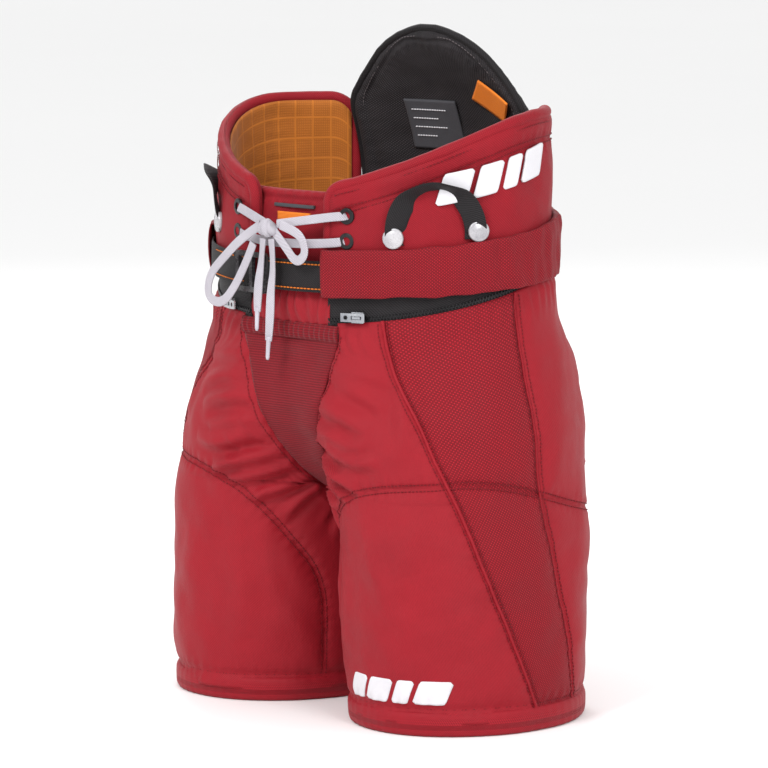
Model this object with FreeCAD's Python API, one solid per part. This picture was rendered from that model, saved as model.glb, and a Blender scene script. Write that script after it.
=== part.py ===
"""Ice hockey pants: padded leg and hip shells, a laced and belted waist, kidney wings and a spine pad.

Millimetres. +Z is up, the front faces -Y and the wearer's left is +X. The origin is under the
centre of the pants, on the surface that the two leg hems stand on.
"""
import FreeCAD, Part
import math
import os

V = FreeCAD.Vector

# ---- Overall shape
HEM_CENTRE_X = 119.0
HEM_HALF_WIDTH = 100.0
HEM_HALF_DEPTH = 117.0
HIP_HEIGHT = 280.0
HIP_HALF_WIDTH = 204.0
HIP_HALF_DEPTH = 132.0
WAIST_HEIGHT = 375.0
WAIST_HALF_WIDTH = 181.0
WAIST_HALF_DEPTH = 128.0
WAIST_CENTRE_Y = 6.0
THIGH_TOP = 185.0
BODY_TOP = 450.0
SECTION_COUNT = 15
FRAME_SHIFT_Y = -4.3
FAR = 300.0

# ---- Walls and clearances
SHELL_WALL = 3.0
GUARD_WALL = 3.5
FOAM_WALL = 10.0
LAYER_GAP = 0.5
SEAM_GAP = 0.6
CENTRE_GAP = 0.4

# ---- Leg and hip pieces
HEM_HEIGHT = 20.0
HEM_PROUD = 2.6
HEM_WALL = 12.0
GUARD_BOTTOM = 34.0
GUARD_TOP = 170.0
GUARD_INNER_X = 80.0
FOAM_INNER_TOP = 120.0
HIP_PAD_TOP = 362.0
HIP_PAD_INNER_X = 112.0
TAILBONE_HALF_WIDTH = 62.0
PANEL_INNER_X = 60.0
GUSSET_TOP = 357.0
GUSSET_TIP = 210.0
GUSSET_HALF_WIDTH = 62.0
ELASTIC_TOP = 369.0

# ---- Waist levels; each rises towards the back by its slope from the front line
FRONT_LINE_Y = -124.0
SHELL_TOP_FRONT = 370.0
SHELL_TOP_SLOPE = 0.27
TUNNEL_BOTTOM_FRONT = 397.0
TUNNEL_BOTTOM_SLOPE = 0.087
TUNNEL_HEIGHT = 43.0
TUNNEL_TOP_SLOPE = 0.14
TUNNEL_FRONT_X = 50.0
TUNNEL_RIGHT_FRONT_Y = -64.0
TUNNEL_INNER_PROUD = 1.0
TUNNEL_SKIN = 2.4
TUNNEL_LIP = 3.0
WEBBING_WIDTH = 29.0
WEBBING_THICKNESS = 2.0
ZIP_BACK_Y = 8.0
COIL_WIDTH = 4.0
COIL_THICKNESS = 1.6
SLIDER_X = 84.0
SLIDER_LENGTH = 12.0
SLIDER_WIDTH = 10.0
SLIDER_HEIGHT = 5.0
PULL_LENGTH = 24.0
PULL_WIDTH = 8.0
PULL_THICKNESS = 1.8

# ---- Wings, tongue and spine
WING_WALL = 9.0
LINING_WALL = 3.0
LINER_WALL = 3.0
WING_FRONT_X = 50.0
WING_BACK_X = 126.5
WING_BACK_Y = 104.0
WING_TOP_FRONT = 492.0
WING_RISE = 75.0
BINDING_HEIGHT = 6.0
TONGUE_HALF_WIDTH = 76.0
TONGUE_BOTTOM = 386.0
TONGUE_TOP = 493.0
TONGUE_WALL = 10.0
TONGUE_CORNER = 16.0
LUMBAR_HALF_WIDTH = 122.0
SPINE_HINGE_Z = 484.0
SPINE_TOP = 637.0
SPINE_HALF_WIDTH = 114.0
SPINE_LEAN = 60.0
SPINE_LEAN_GROWTH = 1.7
SPINE_MARGIN = 14.0
SPINE_SKIN = 5.0
PLATE_WALL = 3.0
LABEL_THICKNESS = 0.6

# ---- Buckle, eyelets, buttons and loops
BUCKLE_X = -34.0
BUCKLE_WIDTH = 48.0
BUCKLE_HEIGHT = 38.0
BUCKLE_BAR = 5.0
BUCKLE_DEPTH = 3.5
BUCKLE_STANDOFF = 8.8
TAIL_START_X = -64.0
TAIL_END_X = -118.0
EYELET_X = 72.0
EYELET_Z = (450.0, 473.0)
EYELET_RADIUS = 7.6
EYELET_HOLE = 4.0
EYELET_THICKNESS = 2.2
BUTTON_RADIUS = 8.5
BUTTON_HEIGHT = 3.8
LOOP_FRONT = V(0.635359 * WAIST_HALF_WIDTH, WAIST_CENTRE_Y - 0.781250 * WAIST_HALF_DEPTH, 454.5)
LOOP_BACK = V(0.939227 * WAIST_HALF_WIDTH, WAIST_CENTRE_Y - 0.367188 * WAIST_HALF_DEPTH, 461.5)
LOOP_HEIGHT = 46.0
LOOP_THICKNESS = 2.5
LOOP_DEPTH = 9.0
LOOP_STANDOFF = 6.0

# ---- Lace: flat, tied in a bow in front of the belt
LACE_WIDTH = 9.0
LACE_THICKNESS = 2.0
LACE_Y = -138.0
KNOT = V(-5.0, -139.0, 459.0)
LACE_LOOP_LEFT = [
    (3.0, 456.0), (17.0, 444.0), (32.0, 428.5), (45.0, 437.5), (40.0, 453.0), (26.0, 459.5), (11.0, 463.0),
]
LACE_LOOP_RIGHT = [
    (-15.0, 461.0), (-40.0, 448.0), (-64.0, 428.5), (-85.0, 410.0), (-88.5, 388.0),
    (-68.5, 383.0), (-51.0, 400.0), (-34.0, 426.0), (-25.0, 443.5),
]
LACE_TAIL_LEFT = [(-1.0, 449.0), (2.0, 425.0), (-2.0, 400.0), (-3.0, 376.0), (-5.0, 354.0)]
LACE_TAIL_RIGHT = [(-12.0, 449.0), (-14.0, 427.0), (-19.0, 404.0), (-20.0, 380.0)]
TIP_LENGTH = 19.0


def key_sections():
    """Chosen sections of the left half: z, centre x, centre y, half width, half depth."""
    return [
        (0.0, HEM_CENTRE_X, 0.0, HEM_HALF_WIDTH, HEM_HALF_DEPTH),
        (90.0, HEM_CENTRE_X - 3.0, 0.0, HEM_HALF_WIDTH + 2.0, HEM_HALF_DEPTH + 4.0),
        (THIGH_TOP, HEM_CENTRE_X - 8.0, 2.0, HEM_HALF_WIDTH + 2.0, HEM_HALF_DEPTH + 8.0),
        (240.0, HIP_HALF_WIDTH - 107.0, 5.0, 110.0, HIP_HALF_DEPTH - 4.0),
        (HIP_HEIGHT, HIP_HALF_WIDTH - 124.0, 8.0, 124.0, HIP_HALF_DEPTH),
        (330.0, 50.0, 13.0, WAIST_HALF_WIDTH - 38.0, WAIST_HALF_DEPTH + 1.0),
        (WAIST_HEIGHT, 20.0, 9.0, WAIST_HALF_WIDTH - 18.0, WAIST_HALF_DEPTH - 1.0),
        (BODY_TOP, 6.0, WAIST_CENTRE_Y, WAIST_HALF_WIDTH - 6.0, WAIST_HALF_DEPTH),
    ]


def key_slopes(keys):
    """Rate of change of each section value with height, the mean of the two sides of each key section."""
    rates = [[(b - a) / (high[0] - low[0]) for a, b in zip(low, high)] for low, high in zip(keys, keys[1:])]
    inner = [[(a + b) / 2 for a, b in zip(before, after)] for before, after in zip(rates, rates[1:])]
    return [rates[0]] + inner + [rates[-1]]


def leg_sections():
    """Evenly spaced sections of the left half, on a smooth cubic through the key sections."""
    keys = key_sections()
    slopes = key_slopes(keys)
    sections = []
    for level in range(SECTION_COUNT + 1):
        z = BODY_TOP * level / SECTION_COUNT
        i = max(k for k in range(len(keys) - 1) if keys[k][0] <= z)
        span = keys[i + 1][0] - keys[i][0]
        t = (z - keys[i][0]) / span
        start, end = 2 * t ** 3 - 3 * t ** 2 + 1, 3 * t ** 2 - 2 * t ** 3
        leave, arrive = t ** 3 - 2 * t ** 2 + t, t ** 3 - t ** 2
        sections.append([start * a + end * b + span * (leave * p + arrive * q)
                         for a, b, p, q in zip(keys[i], keys[i + 1], slopes[i], slopes[i + 1])])
    return sections


def spine_sections():
    """Sections of the leaning spine pad: z, centre y."""
    rise = SPINE_TOP - SPINE_HINGE_Z
    levels = [0.0, 0.36, 0.74, 1.0]
    return [(SPINE_HINGE_Z + rise * t, WAIST_CENTRE_Y - SPINE_LEAN * t ** SPINE_LEAN_GROWTH) for t in levels]


# ---- Basic shapes

def oval(z, cx, cy, ax, ay):
    """Closed elliptical wire at height z."""
    centre = V(cx, cy, z)
    if ax >= ay:
        curve = Part.Ellipse(centre + V(ax, 0, 0), centre + V(0, ay, 0), centre)
    else:
        curve = Part.Ellipse(centre + V(0, ay, 0), centre - V(ax, 0, 0), centre)
    return Part.Wire([curve.toShape()])


def leg_body(inset):
    return Part.makeLoft([oval(z, cx, cy, ax - inset, ay - inset) for z, cx, cy, ax, ay in leg_sections()], True)


def leg_layer(outer, inner):
    """One layer of the left half's wall, between two insets from the outside."""
    return leg_body(outer).cut(leg_body(inner))


def waist_drum(proud, low=300.0, high=700.0):
    wire = oval(low, 0.0, WAIST_CENTRE_Y, WAIST_HALF_WIDTH + proud, WAIST_HALF_DEPTH + proud)
    return Part.Face(wire).extrude(V(0, 0, high - low))


def waist_layer(outer, inner):
    """A band around the waist between two distances proud of its base oval."""
    return waist_drum(outer).cut(waist_drum(inner))


def spine_layer(outer, inner):
    """One layer of the leaning spine pad, between two depths from its back face."""
    bodies = []
    for depth in (outer, inner):
        wires = [oval(z, 0.0, cy, WAIST_HALF_WIDTH - depth, WAIST_HALF_DEPTH - depth) for z, cy in spine_sections()]
        bodies.append(Part.makeLoft(wires, True))
    return bodies[0].cut(bodies[1])


def block(x0, x1, y0, y1, z0, z1):
    return Part.makeBox(x1 - x0, y1 - y0, z1 - z0, V(x0, y0, z0))


def prism(points, direction):
    return Part.Face(Part.makePolygon(points + points[:1])).extrude(direction)


def side_prism(outline, x0, x1):
    """Block with a (y, z) outline, running from x0 to x1."""
    return prism([V(x0, y, z) for y, z in outline], V(x1 - x0, 0, 0))


def front_prism(outline, y0, y1):
    """Block with an (x, z) outline, running from y0 to y1."""
    return prism([V(x, y0, z) for x, z in outline], V(0, y1 - y0, 0))


def mirrored(shape):
    return shape.mirror(V(0, 0, 0), V(1, 0, 0))


def left_half(shape, gap=CENTRE_GAP / 2):
    return shape.common(block(gap, FAR, -FAR, FAR, -1.0, 800.0))


def both_halves(shape):
    """A shape that crosses the middle, made from its exact left half."""
    half = left_half(shape, 0.0)
    return half.fuse(mirrored(half)).removeSplitter()


def largest(shape):
    return max(shape.Solids, key=lambda solid: solid.Volume)


# ---- Levels around the waist

def shell_top(y):
    return SHELL_TOP_FRONT + SHELL_TOP_SLOPE * (y - FRONT_LINE_Y)


def tunnel_bottom(y):
    return TUNNEL_BOTTOM_FRONT + TUNNEL_BOTTOM_SLOPE * (y - FRONT_LINE_Y)


def tunnel_top(y):
    return TUNNEL_BOTTOM_FRONT + TUNNEL_HEIGHT + TUNNEL_TOP_SLOPE * (y - FRONT_LINE_Y)


def zip_meets_tunnel_y():
    rise = TUNNEL_BOTTOM_FRONT - SHELL_TOP_FRONT - 2 * SEAM_GAP
    return FRONT_LINE_Y + rise / (SHELL_TOP_SLOPE - TUNNEL_BOTTOM_SLOPE)


def slanted_slab(lower, upper, x0=-FAR, x1=FAR):
    """Everything between two slanted levels."""
    outline = [(-FAR, lower(-FAR)), (FAR, lower(FAR)), (FAR, upper(FAR)), (-FAR, upper(-FAR))]
    return side_prism(outline, x0, x1)


def waist_front_y(x, proud=0.0):
    share = x / (WAIST_HALF_WIDTH + proud)
    return WAIST_CENTRE_Y - (WAIST_HALF_DEPTH + proud) * math.sqrt(1.0 - share * share)


def waist_normal(x, y):
    normal = V(x / WAIST_HALF_WIDTH ** 2, (y - WAIST_CENTRE_Y) / WAIST_HALF_DEPTH ** 2, 0)
    return normal.normalize()


def front_point(x, z, proud):
    """Point a distance proud of the waist's front, measured along its normal."""
    foot = V(x, waist_front_y(x), z)
    return foot + waist_normal(foot.x, foot.y) * proud


# ---- Outlines shared by pieces that are sewn together

def side_panel_cutter(grow):
    outline = [(-99.0 - grow, 440.0), (-99.0 - grow, 275.0), (-62.0 - grow, 145.0), (-2.0 - grow, 0.0),
               (51.0 + grow, 0.0), (2.0 + grow, 213.0), (-4.0 + grow, 440.0)]
    return side_prism(outline, PANEL_INNER_X - grow, FAR)


def gusset_cutter(grow, top):
    widths = [(GUSSET_TIP - grow, 12.0), (230.0, 21.0), (270.0, 33.0), (GUSSET_TOP, GUSSET_HALF_WIDTH)]
    widths.append((ELASTIC_TOP + 30.0, GUSSET_HALF_WIDTH + 2.0))
    below = [(z, w) for z, w in widths if z < top]
    outline = [(w + grow, z) for z, w in below] + [(below[-1][1] + grow, top)]
    mirrored_side = [(-x, z) for x, z in reversed(outline)]
    return front_prism(outline + mirrored_side, -FAR, -20.0)


# ---- Legs

def thigh_zone(low, high):
    return block(-FAR, FAR, -FAR, FAR, low, high)


def foam_zone():
    """Height range of the thigh foam: its top slopes down to the inner thigh, clear of the crotch."""
    inner, outer = HEM_CENTRE_X - HEM_HALF_WIDTH, HEM_CENTRE_X + HEM_HALF_WIDTH
    low = HEM_HEIGHT + 4.0
    outline = [(inner - 20.0, low), (outer + 20.0, low), (outer + 20.0, THIGH_TOP - 4.0), (inner - 20.0, FOAM_INNER_TOP)]
    return front_prism(outline, -FAR, FAR)


def thigh_pieces():
    shell = leg_layer(0.0, SHELL_WALL).common(thigh_zone(HEM_HEIGHT + SEAM_GAP, THIGH_TOP - SEAM_GAP))
    guard_inset = SHELL_WALL + LAYER_GAP
    foam_inset = guard_inset + GUARD_WALL + LAYER_GAP
    guard = leg_layer(guard_inset, guard_inset + GUARD_WALL).common(thigh_zone(GUARD_BOTTOM, GUARD_TOP))
    foam = leg_layer(foam_inset, foam_inset + FOAM_WALL).common(foam_zone())
    return {
        "thigh_shell": shell.cut(side_panel_cutter(SEAM_GAP)),
        "thigh_side_panel": shell.common(side_panel_cutter(0.0)),
        "thigh_guard": guard.common(block(GUARD_INNER_X, FAR, -FAR, FAR, 0.0, FAR)),
        "thigh_foam": foam,
        "hem_band": hem_band(),
    }


def hem_band():
    bulge = [(0.0, 0.4), (HEM_HEIGHT / 2, HEM_PROUD), (HEM_HEIGHT, 0.4)]
    wires = [oval(z, HEM_CENTRE_X, 0.0, HEM_HALF_WIDTH + p, HEM_HALF_DEPTH + p) for z, p in bulge]
    inner = Part.Face(oval(0.0, HEM_CENTRE_X, 0.0, HEM_HALF_WIDTH - HEM_WALL, HEM_HALF_DEPTH - HEM_WALL))
    return Part.makeLoft(wires, True).cut(inner.extrude(V(0, 0, HEM_HEIGHT)))


def groin_sleeve():
    shell = left_half(leg_layer(0.0, SHELL_WALL))
    shell = shell.common(thigh_zone(THIGH_TOP, HIP_HEIGHT - SEAM_GAP))
    return largest(shell.cut(gusset_cutter(SEAM_GAP, ELASTIC_TOP)))


# ---- Hips

def hip_zone(margin):
    meet = zip_meets_tunnel_y()
    outline = [(-FAR, HIP_HEIGHT), (FAR, HIP_HEIGHT), (FAR, tunnel_bottom(FAR) - 2 * SEAM_GAP - margin),
               (meet, shell_top(meet) - margin), (-FAR, shell_top(-FAR) - margin)]
    return side_prism(outline, -FAR, FAR)


def hip_pieces():
    shell = left_half(leg_layer(0.0, SHELL_WALL)).common(hip_zone(0.0))
    body = shell.cut(side_panel_cutter(SEAM_GAP)).cut(gusset_cutter(SEAM_GAP, 420.0))
    pad_inset = SHELL_WALL + LAYER_GAP
    pad = leg_layer(pad_inset, pad_inset + FOAM_WALL)
    pad = pad.common(block(HIP_PAD_INNER_X, FAR, -FAR, FAR, HIP_HEIGHT + 4.0, HIP_PAD_TOP))
    return {
        "hip_shell": body,
        "hip_side_panel": shell.common(side_panel_cutter(0.0)),
        "hip_guard": pad.common(hip_zone(3.0)),
    }


def front_gusset():
    front = leg_layer(0.0, SHELL_WALL).common(gusset_cutter(0.0, GUSSET_TOP))
    return largest(both_halves(front))


def gusset_elastic():
    front = leg_layer(0.0, SHELL_WALL).common(gusset_cutter(0.0, ELASTIC_TOP))
    front = front.common(block(-FAR, FAR, -FAR, 0.0, GUSSET_TOP + SEAM_GAP, ELASTIC_TOP))
    return largest(both_halves(front))


def tailbone_pad():
    inset = SHELL_WALL + LAYER_GAP
    pad = leg_layer(inset, inset + FOAM_WALL).common(hip_zone(4.0))
    pad = pad.common(block(-TAILBONE_HALF_WIDTH, TAILBONE_HALF_WIDTH, 60.0, FAR, HIP_HEIGHT + 4.0, 500.0))
    return largest(both_halves(pad))


# ---- Zip between the hip shell and the belt tunnel

def zip_tape():
    """Wedge of tape that shows where the shell's top edge and the belt tunnel part at the front."""
    band = waist_layer(-1.2, -1.2 - SHELL_WALL / 2)
    outline = [(-FAR, shell_top(-FAR) + SEAM_GAP), (ZIP_BACK_Y, shell_top(ZIP_BACK_Y) + SEAM_GAP),
               (ZIP_BACK_Y, tunnel_bottom(ZIP_BACK_Y) - SEAM_GAP), (-FAR, tunnel_bottom(-FAR) - SEAM_GAP)]
    return band.common(side_prism(outline, TUNNEL_FRONT_X, FAR))


def zip_coil():
    band = waist_layer(-1.2 + LAYER_GAP + COIL_THICKNESS, -1.2 + LAYER_GAP)
    slab = slanted_slab(lambda y: shell_top(y) + 4.0, lambda y: shell_top(y) + 4.0 + COIL_WIDTH)
    span = block(TUNNEL_FRONT_X + 2.0, FAR, -FAR, ZIP_BACK_Y - 30.0, 0.0, FAR * 2)
    return band.common(slab).common(span)


def slider_place():
    """Placement at the slider: local x runs along the zip, local z stands out from the waist."""
    y = waist_front_y(SLIDER_X)
    out = waist_normal(SLIDER_X, y)
    along = V(-out.y, out.x, 0.0)
    up = V(0, 0, 1)
    centre_z = shell_top(y) + 4.0 + COIL_WIDTH / 2
    base = front_point(SLIDER_X, centre_z, COIL_THICKNESS + LAYER_GAP)
    matrix = FreeCAD.Matrix(along.x, up.x, out.x, base.x, along.y, up.y, out.y, base.y,
                            along.z, up.z, out.z, base.z, 0, 0, 0, 1)
    return FreeCAD.Placement(matrix)


def zip_slider():
    half = SLIDER_LENGTH / 2
    body = Part.makeBox(SLIDER_LENGTH, SLIDER_WIDTH, SLIDER_HEIGHT - 2.0, V(-half, -SLIDER_WIDTH / 2, 0))
    bridge = Part.makeBox(SLIDER_LENGTH - 4.0, 2.0, 3.4, V(-half + 2.0, -1.0, SLIDER_HEIGHT - 2.2))
    body = body.fuse(bridge).removeSplitter()
    body.Placement = slider_place()
    return body


def zip_pull():
    """Flat tab, with a window round the slider's bridge, lying towards the front."""
    gap = 0.7
    reach = SLIDER_LENGTH / 2 + 2.0
    plate = Part.makeBox(PULL_LENGTH, PULL_WIDTH, PULL_THICKNESS, V(-PULL_LENGTH + reach, -PULL_WIDTH / 2, 0))
    window = Part.makeBox(SLIDER_LENGTH - 2.0 + gap, 2.0 + 2 * gap, PULL_THICKNESS,
                          V(-SLIDER_LENGTH / 2 + 1.0 - gap, -1.0 - gap, 0))
    hole = Part.makeCylinder(2.0, PULL_THICKNESS, V(-PULL_LENGTH + reach + 5.0, 0, 0))
    plate = plate.cut(window).cut(hole)
    plate.translate(V(0, 0, SLIDER_HEIGHT - 2.0 + LAYER_GAP))
    plate.Placement = slider_place().multiply(plate.Placement)
    return plate


# ---- Wings

def wing_top_curve(y):
    """Height of the wing's top edge: a rise from the front that levels off at the side and drops at the back."""
    share = (y - FRONT_LINE_Y) / (WING_BACK_Y - FRONT_LINE_Y)
    return WING_TOP_FRONT + WING_RISE * math.sin(math.pi / 2 * min(1.0, share * 1.35)) ** 0.8


def wing_cutter(lower_margin, drop, thickness=None):
    """(y, z) outline of a wing, its top edge lowered by drop; with a thickness, only the strip along that edge."""
    steps = 7
    reach = WING_BACK_Y - FRONT_LINE_Y
    ys = [FRONT_LINE_Y + reach * i / steps for i in range(steps + 1)]
    corner = {steps: 22.0}
    top = [V(0, y, wing_top_curve(y) - drop - corner.get(i, 0.0)) for i, y in enumerate(ys)]
    curve = Part.BSplineCurve()
    curve.interpolate(top)
    if thickness is None:
        low_back = V(0, WING_BACK_Y, tunnel_bottom(WING_BACK_Y) + lower_margin)
        low_front = V(0, FRONT_LINE_Y, tunnel_bottom(FRONT_LINE_Y) + lower_margin)
        rest = [Part.makeLine(top[-1], low_back), Part.makeLine(low_back, low_front), Part.makeLine(low_front, top[0])]
        wire = Part.Wire([curve.toShape()] + rest)
    else:
        lift = V(0, 0, thickness)
        raised = curve.toShape().translated(lift)
        back = Part.makeLine(top[-1], top[-1] + lift)
        front = Part.makeLine(top[0] + lift, top[0])
        wire = Part.Wire(Part.__sortEdges__([curve.toShape(), back, raised, front]))
    cutter = Part.Face(wire).extrude(V(FAR - WING_FRONT_X, 0, 0))
    cutter.translate(V(WING_FRONT_X, 0, 0))
    return cutter.cut(block(0.0, WING_BACK_X, 0.0, FAR, 0.0, 2 * FAR))


def eyelet_places():
    return [(front_point(EYELET_X, z, 0.0), waist_normal(EYELET_X, waist_front_y(EYELET_X))) for z in EYELET_Z]


def eyelet_drill():
    depth = WING_WALL + LINING_WALL + 12.0
    holes = [Part.makeCylinder(EYELET_HOLE + 0.6, depth, p - n * (depth - 3.0), n) for p, n in eyelet_places()]
    return holes[0].fuse(holes[1])


def wing_pieces():
    lining_depth = WING_WALL + LAYER_GAP
    pad = waist_layer(0.0, -WING_WALL).common(wing_cutter(SEAM_GAP, BINDING_HEIGHT))
    lining = waist_layer(-lining_depth, -lining_depth - LINING_WALL)
    lining = lining.common(wing_cutter(SEAM_GAP, BINDING_HEIGHT))
    binding = waist_layer(0.4, -lining_depth - LINING_WALL - 0.4)
    binding = binding.common(wing_cutter(0.0, BINDING_HEIGHT - LAYER_GAP, BINDING_HEIGHT))
    return {
        "wing": pad.cut(eyelet_drill()),
        "wing_lining": lining.cut(eyelet_drill()),
        "wing_binding": binding,
    }


def waist_liner():
    depth = WING_WALL + LINING_WALL + 2 * LAYER_GAP
    band = waist_layer(-depth, -depth - LINER_WALL)
    band = band.common(slanted_slab(lambda y: tunnel_bottom(y) + 1.0, lambda y: tunnel_bottom(y) + 30.0))
    return band.cut(block(-TONGUE_HALF_WIDTH - 8.0, TONGUE_HALF_WIDTH + 8.0, -FAR, 0.0, 0.0, 2 * FAR))


# ---- Belt

def belt_tunnel(front_block):
    outer = TUNNEL_INNER_PROUD + 2 * TUNNEL_SKIN + WEBBING_THICKNESS + 2.0
    skin = waist_layer(outer, TUNNEL_INNER_PROUD).common(slanted_slab(tunnel_bottom, tunnel_top))
    hollow = waist_layer(outer - TUNNEL_SKIN, TUNNEL_INNER_PROUD + TUNNEL_SKIN)
    hollow = hollow.common(slanted_slab(lambda y: tunnel_bottom(y) + TUNNEL_LIP, lambda y: tunnel_top(y) - TUNNEL_LIP))
    return left_half(skin.cut(hollow)).common(front_block)


def webbing_low(y):
    """Height of the belt's lower edge inside the tunnel."""
    return tunnel_bottom(y) + TUNNEL_LIP + 1.0


def webbing_high(y):
    return webbing_low(y) + WEBBING_WIDTH


def webbing_band(proud):
    band = waist_layer(proud + WEBBING_THICKNESS, proud)
    return band.common(slanted_slab(webbing_low, webbing_high))


def webbing_proud():
    return TUNNEL_INNER_PROUD + TUNNEL_SKIN + 1.0


def belt_webbing():
    return webbing_band(webbing_proud()).cut(block(BUCKLE_X - 3.0, BUCKLE_X + 3.0, -FAR, 0.0, 0.0, 2 * FAR))


def belt_tail():
    tail = webbing_band(webbing_proud() + WEBBING_THICKNESS + LAYER_GAP)
    return tail.common(block(TAIL_END_X, TAIL_START_X, -FAR, 0.0, 0.0, 2 * FAR))


def buckle_frame():
    half_w = BUCKLE_WIDTH / 2
    half_h = BUCKLE_HEIGHT / 2
    plate = Part.makeBox(BUCKLE_WIDTH, BUCKLE_DEPTH, BUCKLE_HEIGHT, V(-half_w, -BUCKLE_DEPTH, -half_h))
    upright = [edge for edge in plate.Edges if abs(edge.Vertexes[0].Y - edge.Vertexes[1].Y) > 1.0]
    plate = plate.makeFillet(4.0, upright)
    window_w = (BUCKLE_WIDTH - 3 * BUCKLE_BAR) / 2
    for x in (-half_w + BUCKLE_BAR, BUCKLE_BAR / 2):
        window = Part.makeBox(window_w, BUCKLE_DEPTH, BUCKLE_HEIGHT - 2 * BUCKLE_BAR)
        window.translate(V(x, -BUCKLE_DEPTH, -half_h + BUCKLE_BAR))
        plate = plate.cut(window)
    normal = waist_normal(BUCKLE_X, waist_front_y(BUCKLE_X))
    centre_z = tunnel_bottom(FRONT_LINE_Y) + TUNNEL_LIP + 1.0 + WEBBING_WIDTH / 2
    plate.rotate(V(0, 0, 0), V(0, 0, 1), math.degrees(math.atan2(normal.x, -normal.y)))
    plate.translate(front_point(BUCKLE_X, centre_z, BUCKLE_STANDOFF))
    return plate


# ---- Small fittings

def eyelets():
    rings = []
    for centre, normal in eyelet_places():
        start = centre + normal * 0.3
        ring = Part.makeCylinder(EYELET_RADIUS, EYELET_THICKNESS, start, normal)
        ring = ring.makeFillet(EYELET_THICKNESS * 0.45, [ring.Edges[0]])
        rings.append(ring.cut(Part.makeCylinder(EYELET_HOLE, EYELET_THICKNESS, start, normal)))
    return Part.makeCompound(rings + [mirrored(ring) for ring in rings])


def button_at(point):
    """Domed snap button, its flat back on the wing."""
    normal = waist_normal(point.x, point.y)
    foot = V(point.x, point.y, point.z)
    while waist_drum(0.4).isInside(foot, 0.01, True):
        foot = foot + normal * 0.2
    dome_radius = (BUTTON_RADIUS ** 2 + BUTTON_HEIGHT ** 2) / (2 * BUTTON_HEIGHT)
    ball = Part.makeSphere(dome_radius, foot - normal * (dome_radius - BUTTON_HEIGHT - 0.4))
    return ball.common(Part.makeCylinder(BUTTON_RADIUS + 1.0, BUTTON_HEIGHT + 2.0, foot + normal * 0.4, normal))


def suspender_buttons():
    buttons = [button_at(LOOP_FRONT), button_at(LOOP_BACK)]
    return Part.makeCompound(buttons + [mirrored(button) for button in buttons])


def suspender_loop():
    """Webbing arch that stands on the wing; its two feet are at the snap buttons."""
    chord = V(LOOP_BACK.x - LOOP_FRONT.x, LOOP_BACK.y - LOOP_FRONT.y, 0)
    half = chord.Length / 2
    centre = (LOOP_FRONT + LOOP_BACK) * 0.5
    centre.z = max(LOOP_FRONT.z, LOOP_BACK.z)
    along = chord.normalize()
    out = V(-along.y, along.x, 0) * -1.0
    faces = []
    for reach, height in ((half, LOOP_HEIGHT), (half - LOOP_THICKNESS, LOOP_HEIGHT - LOOP_THICKNESS)):
        major, minor = (V(0, height, 0), V(reach, 0, 0)) if height > reach else (V(reach, 0, 0), V(0, height, 0))
        ellipse = Part.Ellipse(major, minor, V(0, 0, 0))
        faces.append(Part.Face(Part.Wire([ellipse.toShape()])))
    arch = faces[0].cut(faces[1]).extrude(V(0, 0, LOOP_DEPTH))
    arch = arch.common(Part.makeBox(4 * half, 2 * LOOP_HEIGHT, LOOP_DEPTH, V(-2 * half, 0, 0)))
    base = centre + out * LOOP_STANDOFF
    arch.Placement = FreeCAD.Placement(FreeCAD.Matrix(along.x, 0, out.x, base.x, along.y, 0, out.y, base.y,
                                                      0, 1, 0, base.z, 0, 0, 0, 1))
    return arch


# ---- Tongue and spine

def tongue():
    w, r = TONGUE_HALF_WIDTH, TONGUE_CORNER
    top = TONGUE_TOP
    bottom = TONGUE_BOTTOM
    dip = r * (1.0 - math.sqrt(0.5))
    points = [V(-w, -FAR, top - r), V(-w + dip, -FAR, top - dip), V(-w + r, -FAR, top)]
    left = [V(-p.x, p.y, p.z) for p in reversed(points)]
    edges = [Part.Arc(*points).toShape(), Part.makeLine(points[2], left[0]), Part.Arc(*left).toShape(),
             Part.makeLine(left[2], V(w, -FAR, bottom)), Part.makeLine(V(w, -FAR, bottom), V(-w, -FAR, bottom)),
             Part.makeLine(V(-w, -FAR, bottom), points[0])]
    outline = Part.Face(Part.Wire(edges)).extrude(V(0, FAR, 0))
    depth = WING_WALL + LINING_WALL + 2 * LAYER_GAP
    return waist_layer(-depth, -depth - TONGUE_WALL).common(outline)


def lumbar_pad():
    pad = waist_layer(0.0, -WING_WALL - LINING_WALL)
    slab = slanted_slab(lambda y: tunnel_bottom(y) + SEAM_GAP, lambda y: SPINE_HINGE_Z - SEAM_GAP)
    return pad.common(slab).common(block(-LUMBAR_HALF_WIDTH, LUMBAR_HALF_WIDTH, 60.0, FAR, 0.0, 2 * FAR))


def spine_cutter(margin=0.0):
    """(x, z) outline of the spine pad: straight sides, sloping shoulders and a rounded top, drawn in by margin."""
    w = SPINE_HALF_WIDTH - margin
    low = SPINE_HINGE_Z
    top = SPINE_TOP - margin
    shares = [(1.0, 0.45), (0.955, 0.56), (0.72, 0.76), (0.50, 0.89)]
    right = [V(w * across, 0, low + (top - low) * up) for across, up in shares]
    curve = Part.BSplineCurve()
    curve.interpolate([V(-p.x, 0, p.z) for p in right] + [V(0, 0, top)] + list(reversed(right)))
    corners = [right[0], V(w, 0, low), V(-w, 0, low), V(-w, 0, right[0].z)]
    lines = [Part.makeLine(a, b) for a, b in zip(corners, corners[1:])]
    return Part.Face(Part.Wire([curve.toShape()] + lines)).extrude(V(0, FAR, 0))


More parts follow.
